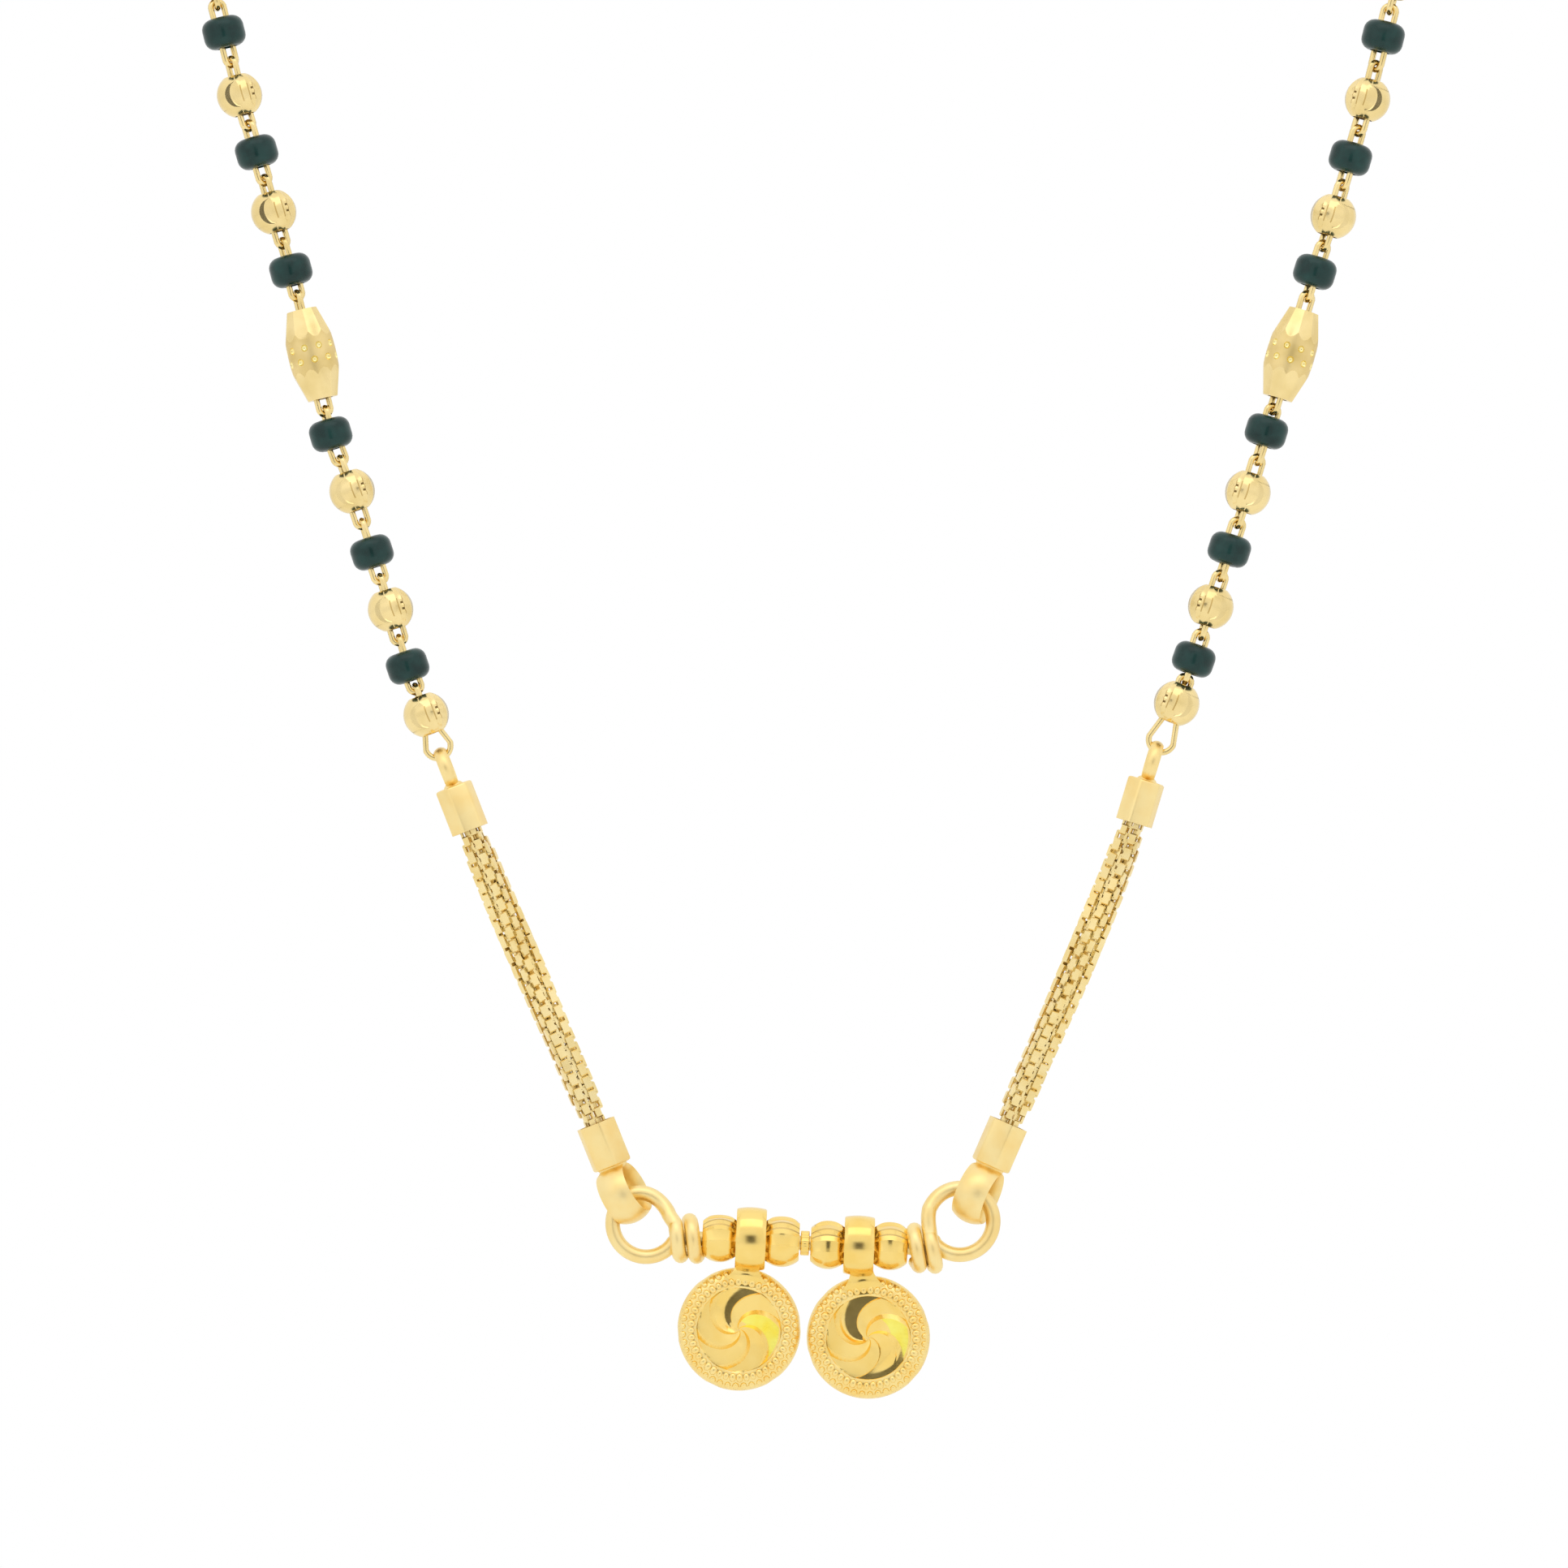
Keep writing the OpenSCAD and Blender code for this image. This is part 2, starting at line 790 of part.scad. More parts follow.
for (s = sides, i = [1 : front_count])
    front_bead(s, i);
for (s = sides) {
    front_chain(s);
    back_chain(s);
    back_beads(s, true);
    back_beads(s, false);
    end_ring(s);
    upper_cap(s);
    bundle(s);
    lower_cap(s);
    pendant(s);
}
clasp_hook();
bar_wire();
bar_spacer();
for (i = [1 : bar_ball_count])
    bar_ball(i);
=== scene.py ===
# %% [markdown]
# # A mangalsutra in gold and black glass
#
# This lesson dresses a necklace that already exists as a plain model with real sizes.
# The plain model is called the frame: it says where each bead, link and pendant is, and
# which body it moves with. Here each piece gets the shape and the finish that a jeweller
# gives it. Nothing is moved, and every new piece takes the place of one from the frame.

# %% Load the frame
import math
import random
from contextlib import contextmanager

import bmesh
import bpy
from mathutils import Matrix, Vector


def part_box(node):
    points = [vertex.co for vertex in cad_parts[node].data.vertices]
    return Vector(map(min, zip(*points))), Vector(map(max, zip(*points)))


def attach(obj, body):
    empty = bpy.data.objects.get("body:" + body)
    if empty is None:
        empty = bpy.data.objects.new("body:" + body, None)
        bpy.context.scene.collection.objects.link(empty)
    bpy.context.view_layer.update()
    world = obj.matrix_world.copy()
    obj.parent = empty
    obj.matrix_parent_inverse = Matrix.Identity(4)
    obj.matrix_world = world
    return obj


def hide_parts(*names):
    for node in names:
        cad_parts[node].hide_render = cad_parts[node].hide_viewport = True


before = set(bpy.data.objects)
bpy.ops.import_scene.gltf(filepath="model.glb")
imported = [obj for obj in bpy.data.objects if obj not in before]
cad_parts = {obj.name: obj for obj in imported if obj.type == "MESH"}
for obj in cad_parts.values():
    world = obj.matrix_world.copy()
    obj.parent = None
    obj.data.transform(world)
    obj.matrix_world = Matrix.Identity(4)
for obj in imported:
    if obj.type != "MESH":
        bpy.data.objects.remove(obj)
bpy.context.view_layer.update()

print("nodes in the frame:", len(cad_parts))

# %% [markdown]
# ## Units and small helpers
#
# Blender works in metres, and a necklace is easier to describe in millimetres, so each
# size is written in millimetres and passes through `MM`. Operators act on all that is
# selected, and the frame arrives selected, so `only` makes a clean start. In edit mode
# `pick` plays the part of the mouse: it selects what passes a test on place or direction.
# The other helpers name, join, cut and soften pieces, start them and copy them.

# %% Units, places and angles
MM = 0.001
TURN = 2 * math.pi
MERGE = 0.0005 * MM
SIDES = ("left", "right")
SIGN = {"left": -1, "right": 1}


def mm(*values):
    return Vector(values) * MM


def polar(radius, angle, height=0.0):
    """Place in millimetres at an angle round Z."""
    return mm(radius * math.cos(angle), radius * math.sin(angle), height)


def share_of_turn(place):
    """How far round Z a place lies, from 0 to 1."""
    return math.atan2(place.y, place.x) / TURN % 1


def ease(value):
    """Rises softly from 0 to 1 where the value rises evenly."""
    part = min(max(value, 0), 1)
    return part * part * (3 - 2 * part)


# %% Selection
def only(*objects):
    bpy.ops.object.select_all(action="DESELECT")
    for obj in objects:
        obj.select_set(True)
    bpy.context.view_layer.objects.active = objects[0]


@contextmanager
def editing(obj, kind="FACE"):
    only(obj)
    bpy.ops.object.mode_set(mode="EDIT")
    bpy.ops.mesh.select_mode(type=kind)
    bpy.ops.mesh.select_all(action="DESELECT")
    yield
    bpy.ops.object.mode_set(mode="OBJECT")


def pick(obj, kind, test):
    bpy.ops.mesh.select_all(action="DESELECT")
    mesh = bmesh.from_edit_mesh(obj.data)
    chosen = [item for item in getattr(mesh, kind) if test(item)]
    for item in chosen:
        item.select_set(True)
    mesh.select_flush_mode()
    bmesh.update_edit_mesh(obj.data)
    return len(chosen)


def pick_all():
    bpy.ops.mesh.select_all(action="SELECT")


def run_along(edge, axis):
    """How far an edge runs along an axis."""
    return abs(getattr(edge.verts[0].co - edge.verts[1].co, axis))


# %% Names, joins and modifiers
def named(name):
    obj = bpy.context.object
    obj.name = name
    obj.data.name = name
    return obj


def put_in_scene(name, data):
    obj = bpy.data.objects.new(name, data)
    bpy.context.scene.collection.objects.link(obj)
    return obj


def join(name, objects):
    only(*objects)
    bpy.ops.object.join()
    return named(name)


def apply_modifier(obj, kind, **settings):
    only(obj)
    modifier = obj.modifiers.new(kind, kind)
    for key, value in settings.items():
        setattr(modifier, key, value)
    bpy.ops.object.modifier_apply(modifier=modifier.name)


def combine(obj, other, how="UNION", **settings):
    """Boolean of two closed shapes; the other one is used up."""
    apply_modifier(obj, "BOOLEAN", object=other, operation=how, solver="EXACT", **settings)
    bpy.data.objects.remove(other)


# %% Edges
def smooth(obj, degrees=40):
    """Shades soft over edges that bend less than this."""
    only(obj)
    bpy.ops.object.shade_smooth_by_angle(angle=math.radians(degrees))


def round_edges(obj, width, segments, test):
    """Bevels the edges that pass a test."""
    with editing(obj, "EDGE"):
        pick(obj, "edges", test)
        bpy.ops.mesh.bevel(offset=width * MM, segments=segments, affect="EDGES")


def crisp_border():
    """Keeps the shading crisp round the picked faces."""
    bpy.ops.mesh.region_to_loop()
    bpy.ops.mesh.mark_sharp()


# %% Starting shapes
def round_ball(name, radius, segments, rings, place=(0, 0, 0)):
    """Sphere with a radius in millimetres, its middle at a place of the scene."""
    bpy.ops.mesh.primitive_uv_sphere_add(segments=segments, ring_count=rings, radius=radius * MM)
    ball = named(name)
    ball.data.transform(Matrix.Translation(place))
    return ball


def rod(name, corners, radius, length):
    """Cylinder along Z, sized in millimetres."""
    bpy.ops.mesh.primitive_cylinder_add(vertices=corners, radius=radius * MM, depth=length * MM)
    return named(name)


def wire_ring(name, radius, wire, steps, sides, matrix):
    """Closed ring of round wire, whose axis is Z until the matrix turns it."""
    bpy.ops.mesh.primitive_torus_add(
        major_segments=steps,
        minor_segments=sides,
        major_radius=radius * MM,
        minor_radius=wire / 2 * MM,
    )
    ring = named(name)
    ring.data.transform(matrix)
    smooth(ring, 60)
    return ring


# %% Copies of a model piece
def copy_at(model, name, matrix):
    obj = put_in_scene(name, model.data.copy())
    obj.data.name = name
    obj.data.transform(matrix)
    return obj


def drop_model(*models):
    for model in models:
        bpy.data.objects.remove(model)


def turned(axis, degrees):
    return Matrix.Rotation(math.radians(degrees), 4, axis)


def upright(place, up, degrees=0.0):
    """Z along a direction in the front plane, with Y kept on Y, then a turn about it."""
    lean = Matrix.Rotation(math.atan2(up.x, up.z), 4, "Y")
    return Matrix.Translation(place) @ lean @ turned("Z", degrees)


def middle(node):
    low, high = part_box(node)
    return (low + high) / 2


# %% [markdown]
# ## Finishes
#
# Gold gets its look from what it mirrors, so its material is simple: a metal with the
# right colour, and a roughness that varies a little where hands and polishing cloths
# have been. A tiny class wraps a node's socket, so that the maths of a material reads
# as plain arithmetic, and one method makes any other node.


# %% A socket that knows arithmetic
class Wire:
    """An output socket in a material, which can be added to, taken from and multiplied."""

    def __init__(self, tree, socket):
        self.tree = tree
        self.socket = socket

    def math(self, operation, first, second):
        node = self.tree.nodes.new("ShaderNodeMath")
        node.operation = operation
        for port, value in zip(node.inputs, (first, second)):
            plug_in(self.tree, port, value)
        return Wire(self.tree, node.outputs[0])

    def __add__(self, other):
        return self.math("ADD", self, other)

    __radd__ = __add__

    def __sub__(self, other):
        return self.math("SUBTRACT", self, other)

    def __rsub__(self, other):
        return self.math("SUBTRACT", other, self)

    def __mul__(self, other):
        return self.math("MULTIPLY", self, other)

    __rmul__ = __mul__


def plug_in(tree, port, value):
    """Feeds an input with a wire, or sets it to a plain value."""
    if isinstance(value, Wire):
        tree.links.new(value.socket, port)
    else:
        port.default_value = value


# %% A material and its nodes
class Finish:
    """A material with one Principled shader, and a method that makes any other node."""

    def __init__(self, name, **constants):
        self.material = bpy.data.materials.new(name)
        self.material.use_nodes = True
        self.tree = self.material.node_tree
        self.shader = self.tree.nodes["Principled BSDF"]
        self.feed(**constants)

    def feed(self, **sockets):
        """Feeds the shader's sockets, whose names have _ for a space."""
        for key, value in sockets.items():
            plug_in(self.tree, self.shader.inputs[key.replace("_", " ")], value)

    def node(self, kind, output=0, settings=None, stops=(), **sockets):
        node = self.tree.nodes.new(kind)
        for key, value in (settings or {}).items():
            setattr(node, key, value)
        for k, (at, colour) in enumerate(stops):
            node.color_ramp.elements[k].position = at
            node.color_ramp.elements[k].color = (*colour, 1)
        for key, value in sockets.items():
            plug_in(self.tree, node.inputs[key.replace("_", " ")], value)
        return Wire(self.tree, node.outputs[output])

    def noise(self, size, detail=2.0):
        """Cloudy pattern whose lumps are about `size` millimetres."""
        place = self.node("ShaderNodeTexCoord", output="Object")
        scale = 1 / (size * MM)
        return self.node("ShaderNodeTexNoise", "Fac", Vector=place, Scale=scale, Detail=detail)

    def ramp(self, share, *stops):
        """Colour that runs from one stop to the next, each a share and a colour."""
        return self.node("ShaderNodeValToRGB", "Color", stops=stops, Fac=share)

    def bump(self, height, depth):
        """Tilts the surface as if it were `depth` millimetres higher where the height is 1."""
        return self.node(
            "ShaderNodeBump", "Normal", Height=height, Distance=depth * MM, Strength=1.0
        )


# %% [markdown]
# All the golds come from one recipe. Pale polished gold is on the strings, richer gold
# on the pendants and the balls of the bar, and satin gold on the caps and the thick
# wire, where a file and a brush have left a fine grain. Each drifts slightly in colour,
# because the alloy and the wear of a real piece are never even. The others belong to
# smaller places: a browner one to the waists of the barrels, a bright one to the punched
# dimples, a soft one to the woven chains, and one between polished and satin to the
# pendants' borders. Three of them are painted light and shade: a browner painted shade on
# the walls between cuts, a near black painted shade in the nicks, and a painted lemon
# glint on one blade of each pendant, over a coarser grain.

# %% Gold
CLOUD_SIZE = 1.6


def gold_finish(name, deep, pale, roughness, spread, grain_size=0.5, grain_depth=0.002):
    """Metal between two colours and two roughnesses, with a grain in millimetres."""
    finish = Finish(name, Metallic=1.0)
    clouds = finish.noise(CLOUD_SIZE)
    grain = finish.noise(grain_size, detail=4.0)
    finish.feed(
        Base_Color=finish.ramp(clouds, (0.3, deep), (0.62, pale)),
        Roughness=roughness - spread / 2 + spread * (0.6 * clouds + 0.4 * grain),
        Normal=finish.bump(grain, grain_depth),
    )
    return finish.material


string_gold = gold_finish("pale_gold", (0.87, 0.67, 0.29), (0.98, 0.78, 0.38), 0.19, 0.08)
pendant_gold = gold_finish("rich_gold", (0.97, 0.68, 0.19), (1.0, 0.74, 0.25), 0.19, 0.10)
satin_gold = gold_finish("brushed_gold", (0.98, 0.73, 0.30), (1.0, 0.80, 0.38), 0.38, 0.12, 0.3)
waist_gold = gold_finish("waist_gold", (0.76, 0.57, 0.22), (0.90, 0.70, 0.32), 0.40, 0.10)
dimple_gold = gold_finish(
    "dimple_gold", (1.0, 0.80, 0.30), (1.0, 0.88, 0.45), 0.22, 0.10, 0.2, 0.004
)
# Painted shade: a browner gold for the walls between cuts and a near black one for the nicks,
# standing in for the shade that falls there.
wall_shade_gold = gold_finish("wall_shade_gold", (0.56, 0.38, 0.12), (0.68, 0.48, 0.18), 0.34, 0.10)
nick_shade_gold = gold_finish("nick_shade_gold", (0.16, 0.10, 0.03), (0.24, 0.15, 0.05), 0.45, 0.10)
woven_gold = gold_finish("woven_gold", (0.94, 0.72, 0.30), (1.0, 0.82, 0.42), 0.31, 0.12)
# Painted glint: a lemon gold that stands in for lemon glints of light on one blade of each
# pendant, over a coarser real grain.
glint_painted_gold = gold_finish(
    "glint_painted_gold", (1.0, 0.80, 0.08), (1.0, 0.92, 0.20), 0.30, 0.2, 0.2, 0.018
)
border_gold = gold_finish(
    "border_gold", (0.99, 0.70, 0.22), (1.0, 0.78, 0.32), 0.27, 0.12, 0.3, 0.003
)
print("gold finishes from", string_gold.name, "to", border_gold.name)

# %% [markdown]
# The black beads are glass, and by daylight the glass is a very dark bottle green. A
# clear coat gives the wet highlight, while the body below stays a little dull, and the
# colour lightens slightly in clouds, as it does where a bead is thin near its hole.

# %% Black glass
GLASS_DARK = (0.002, 0.020, 0.018)
GLASS_LIGHT = (0.008, 0.050, 0.044)


def black_glass_finish():
    finish = Finish("bottle_glass", IOR=1.36, Coat_Weight=0.15, Coat_Roughness=0.08)
    clouds = finish.noise(1.1, detail=3.0)
    finish.feed(
        Base_Color=finish.ramp(clouds, (0.3, GLASS_DARK), (0.75, GLASS_LIGHT)),
        Roughness=0.22 + 0.12 * clouds,
        Normal=finish.bump(finish.noise(0.9), 0.004),
    )
    return finish.material


black_glass = black_glass_finish()
print("glass finish:", black_glass.name)


# %% Dressing a piece
def dress(obj, material, slot_name, node, body="necklace"):
    """Gives a finished piece its material and body, and hides the frame's node that it stands for.
    The slot_name argument is not used.
    """
    if not obj.data.materials:
        obj.data.materials.append(material)
    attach(obj, body)
    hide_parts(node)


# %% [markdown]
# ## Moon-cut gold balls
#
# The gold balls are hollow, and a spinning wheel has cut down one side of each: first
# one flat round facet, then cut after cut that overlaps the one before, so that only a
# crescent of each is left. The other side stays smooth. A sphere whose columns follow
# the edges of the cuts gives these crescents with few faces. For each row of latitude
# the columns are set out along the edges, and each point is pressed in to its cut. The
# cuts are flat between their edges. The narrow walls from one cut to the next mirror
# each other and lie in shade, and that look is painted into them as a browner gold. A
# slip of the wheel leaves a nick, whose shade is painted in as a near black gold.

# %% Set out the cuts
BALL_ROWS = 30
FACET_DEPTH = 0.19
FACET_LEFT = 0.68
# Later cuts: the angle of each edge from the facet's middle, how far it bulges back,
# and how deep the surface lies just before and just after it, as shares of the radius.
CUT_EDGES = (
    (8, 12, 0.11, 0.13),
    (30, 12, 0.085, 0.10),
    (48, 11, 0.05, 0.07),
    (76, 10, 0.01, 0.03),
)
CUT_END = 100
CUT_REACH = 62
SMOOTH_COLUMNS = 18
# The shoulder is the wall after the facet. It gets deeper towards the facet's tips.
SHOULDER = 0.02
SHOULDER_GROWS = 2
TIP_LATITUDE = 36
# In degrees: the facet's least half width, the widths of the shoulder and of the other
# walls, and how far before its edge a cut has its last column.
LEAST_RIM = 2.0
SHOULDER_WIDE = 3
WALL_WIDE = 4
BEFORE_EDGE = 6


def on_the_flat(first, second, angle):
    """Angle and depth of a place on the straight line between two others of a row."""
    reach = [1 - depth for _, depth in (first, second)]
    span = math.sin(math.radians(second[0] - first[0]))
    to_first = math.sin(math.radians(angle - first[0]))
    to_second = math.sin(math.radians(second[0] - angle))
    distance = reach[0] * reach[1] * span / (reach[0] * to_first + reach[1] * to_second)
    return angle, 1 - distance


def facet_columns(latitude, fade):
    """The columns over the first facet, of which the last stands on the shoulder."""
    slant = math.cos(math.radians(latitude))
    rim = max(math.degrees(math.acos(min(1.0, (1 - FACET_DEPTH) / slant))), LEAST_RIM)
    left = -rim * FACET_LEFT
    row = []
    for angle in (-rim, (left - rim) / 2, left, left + SHOULDER_WIDE):
        plane = 1 - (1 - FACET_DEPTH) / (slant * math.cos(math.radians(angle)))
        row.append((angle, max(0.0, plane)))
    angle, depth = row.pop()
    lower = SHOULDER * (1 + SHOULDER_GROWS * (latitude / TIP_LATITUDE) ** 2)
    return row + [(angle, depth + lower * fade)]


def cut_columns(latitude):
    """Angles and depths, in degrees and shares of the radius, round one row of a ball."""
    fade = max(0.0, 1 - (latitude / CUT_REACH) ** 2)
    row = facet_columns(latitude, fade)
    for angle, bulge, before, after in CUT_EDGES:
        edge = (angle + bulge * (1 - fade), before * fade)
        row.append(on_the_flat(row[-1], edge, edge[0] - BEFORE_EDGE))
        row.append(edge)
        row.append((edge[0] + WALL_WIDE, after * fade))
    gap = (360 - CUT_END + row[0][0]) / (SMOOTH_COLUMNS + 1)
    return row + [(CUT_END + gap * k, 0.0) for k in range(SMOOTH_COLUMNS + 1)]


BALL_COLUMNS = len(cut_columns(0))
print("columns round a ball:", BALL_COLUMNS)

# %% Press the cuts in and paint shade on the walls and nicks
NICK_DEPTH = 0.05
# The poles of the sphere, which have no column and are sliced off later, are narrower.
POLE = 0.01
# Columns of the walls that get a painted browner shade, the latitude that this reaches
# to, and the nicked places, which get a painted dark shade, as column and row.
STRING_CUTS = {"walls": (5, 8, 11), "reach": 26, "nicks": ((10, 1), (11, 1), (10, -2), (11, -2))}
BAR_CUTS = {"walls": (5, 8), "reach": 50, "nicks": ()}


def latitude_of(place):
    return math.degrees(math.atan2(place.z, place.xy.length))


def press_cuts(obj, radius, nicks):
    """Sets a sphere's points out along the cuts and presses them in."""
    for vertex in obj.data.vertices:
        if vertex.co.xy.length < radius * POLE * MM:
            continue
        column = round(share_of_turn(vertex.co) * BALL_COLUMNS) % BALL_COLUMNS
        latitude = latitude_of(vertex.co)
        row = round(latitude / 180 * BALL_ROWS)
        degrees, depth = cut_columns(latitude)[column]
        if any(column - c in (0, 1) and row - r in (0, 1) for c, r in nicks):
            depth += NICK_DEPTH
        left = radius * (1 - depth)
        tilt = math.radians(latitude)
        vertex.co = polar(left * math.cos(tilt), math.radians(degrees), left * math.sin(tilt))


def paint_wall_shade(obj, gold, walls, reach, nicks):
    """Paints shade on the walls between the cuts as a browner gold, and on the nicks as the
    darkest.
    """
    for material in (gold, wall_shade_gold, nick_shade_gold):
        obj.data.materials.append(material)
    for face in obj.data.polygons:
        column = int(share_of_turn(face.center) * BALL_COLUMNS)
        latitude = latitude_of(face.center)
        if (column, math.floor(latitude / 180 * BALL_ROWS)) in nicks:
            face.material_index = 2
        elif column in walls and abs(latitude) < reach:
            face.material_index = 1


# %% Finish a ball
def slice_off(place, direction):
    """Cuts the edited shape along a plane, drops the side it points to, closes the cut."""
    pick_all()
    bpy.ops.mesh.bisect(
        plane_co=place, plane_no=direction, use_fill=True, clear_outer=True, threshold=MERGE
    )


def bore_through(obj, bore):
    """Opens a round hole between the two end faces, which are square to Z."""
    with editing(obj):
        pick(obj, "faces", lambda face: abs(face.normal.z) > 0.999 and len(face.verts) > 8)
        rims = [v.co.xy.length for v in bmesh.from_edit_mesh(obj.data).verts if v.select]
        bpy.ops.mesh.inset(thickness=max(rims) - bore / 2 * MM)
        bpy.ops.mesh.bridge_edge_loops()


def moon_cut_ball(name, diameter, length, bore, gold, cuts, soft_below):
    radius = diameter / 2
    ball = round_ball(name, radius, BALL_COLUMNS, BALL_ROWS)
    paint_wall_shade(ball, gold, **cuts)
    press_cuts(ball, radius, cuts["nicks"])
    with editing(ball):
        for end in (1, -1):
            slice_off(mm(0, 0, end * length / 2), (0, 0, end))
        flat = (1 - FACET_DEPTH) * radius * MM
        pick(ball, "faces", lambda f: all(abs(v.co.x - flat) < MERGE for v in f.verts))
        crisp_border()
    bore_through(ball, bore)
    smooth(ball, soft_below)
    return ball


BEAD_BORE = 1.42
ball_model = moon_cut_ball("ball_model", 3.2, 2.8, BEAD_BORE, string_gold, STRING_CUTS, 22)
print("faces of a ball:", len(ball_model.data.polygons))

# %% [markdown]
# ## Black glass beads
#
# These are cut from a glass tube and tumbled until their edges are round. A cylinder
# with a wide bevel on both rims is just that, and the hole is drilled as in the balls.

# %% Model a black bead
BLACK_D = 2.95
BLACK_LEN = 2.15
BLACK_ROUND = 0.74

black_model = rod("black_model", 36, BLACK_D / 2, BLACK_LEN)
round_edges(black_model, BLACK_ROUND, 6, lambda edge: run_along(edge, "z") < MERGE)
bore_through(black_model, BEAD_BORE)
smooth(black_model, 60)
print("faces of a black bead:", len(black_model.data.polygons))

# %% [markdown]
# ## Barrel beads
#
# A barrel is turned to a spindle first, and then a flat wheel cuts ten long facets from
# each end, whose tips run out near the middle. The turned waist between them stays
# duller, and two rows of small bright dimples are punched round it. Here an outline is
# spun to the spindle, each facet is one bisect that clears what lies outside its plane,
# and the dimples are small balls taken away, which leave their own material behind.


# %% Spin an outline
def revolve(name, outline, steps):
    """Spins an outline of (radius, height) in millimetres round Z into a closed shape."""
    data = bpy.data.meshes.new(name)
    count = len(outline)
    points = [mm(radius, 0, height) for radius, height in outline]
    data.from_pydata(points, [(i, (i + 1) % count) for i in range(count)], [])
    obj = put_in_scene(name, data)
    with editing(obj, "VERT"):
        pick_all()
        bpy.ops.mesh.spin(steps=steps, angle=TURN, center=(0, 0, 0), axis=(0, 0, 1))
        pick_all()
        bpy.ops.mesh.remove_doubles(threshold=MERGE)
        bpy.ops.mesh.normals_make_consistent(inside=False)
    return obj


# %% Turn a barrel and cut its facets
BARREL_LEN = 6.4
BARREL_END_R = 1.225
BARREL_MID_R = 1.7
BARREL_BULGE = 2.2
BARREL_ROWS = 18
FACETS = 10
# Two places on the plane of each facet, as radius and height.
FACET_AT_END = (1.04, 3.2)
FACET_NEAR_TIP = (1.56, 1.42)


def turned_radius(height):
    """Radius of the spindle at a height above or below its middle."""
    share = abs(height) / (BARREL_LEN / 2)
    return BARREL_MID_R - (BARREL_MID_R - BARREL_END_R) * share**BARREL_BULGE


def barrel_outline():
    half = BARREL_LEN / 2
    heights = [half * (2 * i / BARREL_ROWS - 1) for i in range(BARREL_ROWS + 1)]
    bore = [(BEAD_BORE / 2, half), (BEAD_BORE / 2, -half)]
    return [(turned_radius(z), z) for z in heights] + bore


def cut_facets(barrel):
    (end_r, end_z), (tip_r, tip_z) = FACET_AT_END, FACET_NEAR_TIP
    slope = math.atan2(tip_r - end_r, end_z - tip_z)
    with editing(barrel):
        for end in (1, -1):
            for k in range(FACETS):
                angle = TURN * k / FACETS
                facing = polar(math.cos(slope), angle, end * math.sin(slope))
                slice_off(polar(end_r, angle, end * end_z), facing.normalized())


barrel_model = revolve("barrel_model", barrel_outline(), 40)
cut_facets(barrel_model)
print("faces of a barrel with its facets:", len(barrel_model.data.polygons))

# %% Dull its waist and punch the dimples
TURNED_WITHIN = 0.02
END_WITHIN = 0.01
DIMPLE_R = 0.26
DIMPLE_OUT = 1.74
DIMPLE_ROWS = ((0.46, 0.0), (-0.46, 0.5))


def is_turned(face):
    """True for the faces that the spin left, and False for facets, ends and bore."""
    place = face.calc_center_median() / MM
    near = turned_radius(place.z) - place.xy.length < TURNED_WITHIN
    return near and abs(place.z) < BARREL_LEN / 2 - END_WITHIN


def dull_waist(barrel):
    """Gives the turned middle, which no facet has reached, its own darker gold."""
    for gold in (string_gold, waist_gold, dimple_gold):
        barrel.data.materials.append(gold)
    with editing(barrel):
        found = pick(barrel, "faces", is_turned)
        barrel.active_material_index = 1
        bpy.ops.object.material_slot_assign()
    return found


def punch_dimples(barrel):
    pips = []
    for height, offset in DIMPLE_ROWS:
        for k in range(FACETS):
            place = polar(DIMPLE_OUT, TURN * (k + offset) / FACETS, height)
            pips.append(round_ball("pip", DIMPLE_R, 10, 6, place))
    punch = join("pips", pips)
    smooth(punch, 80)
    punch.data.materials.append(dimple_gold)
    combine(barrel, punch, "DIFFERENCE", material_mode="TRANSFER")
    with editing(barrel):
        pick(barrel, "faces", lambda face: face.material_index == 2)
        crisp_border()


print("faces of the turned waist:", dull_waist(barrel_model))
smooth(barrel_model, 12)
punch_dimples(barrel_model)
print("faces of a barrel:", len(barrel_model.data.polygons))

# %% [markdown]
# ## Stringing the front beads
#
# Every front bead is a node of the frame, so its middle comes from its box, and it
# points along the line between its neighbours. The real beads have turned freely on the
# chain, so each shows another side: a few turns are set from the photo, where the cuts
# of a ball show best, and the rest follow a seeded draw.

# %% Where the string runs
FRONT_KINDS = "black ball black ball black barrel black ball black ball black ball".split()
FRONT_Y = -85.0
RISE = -55.0

# Ends of the caps as (out, down): top and foot of the upper cap, foot and closed end
# of the lower cap, middle of the large ring.
ENDS = {
    "left": [(24.6, 55.2), (23.4, 58.3), (14.6, 78.9), (13.4, 81.9), (12.6, 83.8)],
    "right": [(24.1, 54.8), (23.2, 57.8), (14.4, 78.9), (13.1, 81.9), (12.25, 83.8)],
}
SMALL_RING_D = 3.0
RING_SINK = 0.12


def cap_ends(side):
    return [mm(SIGN[side] * out, FRONT_Y, RISE - down) for out, down in ENDS[side]]


def bead_places(side):
    return [middle(f"bead_{side}_{i + 1}") for i in range(len(FRONT_KINDS))]


def small_ring_place(side):
    top, foot = cap_ends(side)[:2]
    return top + (top - foot).normalized() * (SMALL_RING_D / 2 - RING_SINK) * MM


def bead_ups(side):
    """Direction of the string at each front bead, pointing up."""
    places = bead_places(side)
    line = [places[0] * 2 - places[1]] + places + [small_ring_place(side)]
    return [(line[i] - line[i + 2]).normalized() for i in range(len(places))]


for side in SIDES:
    reach = bead_places(side)[0] - small_ring_place(side)
    print("string in front,", side, round(reach.length / MM, 1), "mm")


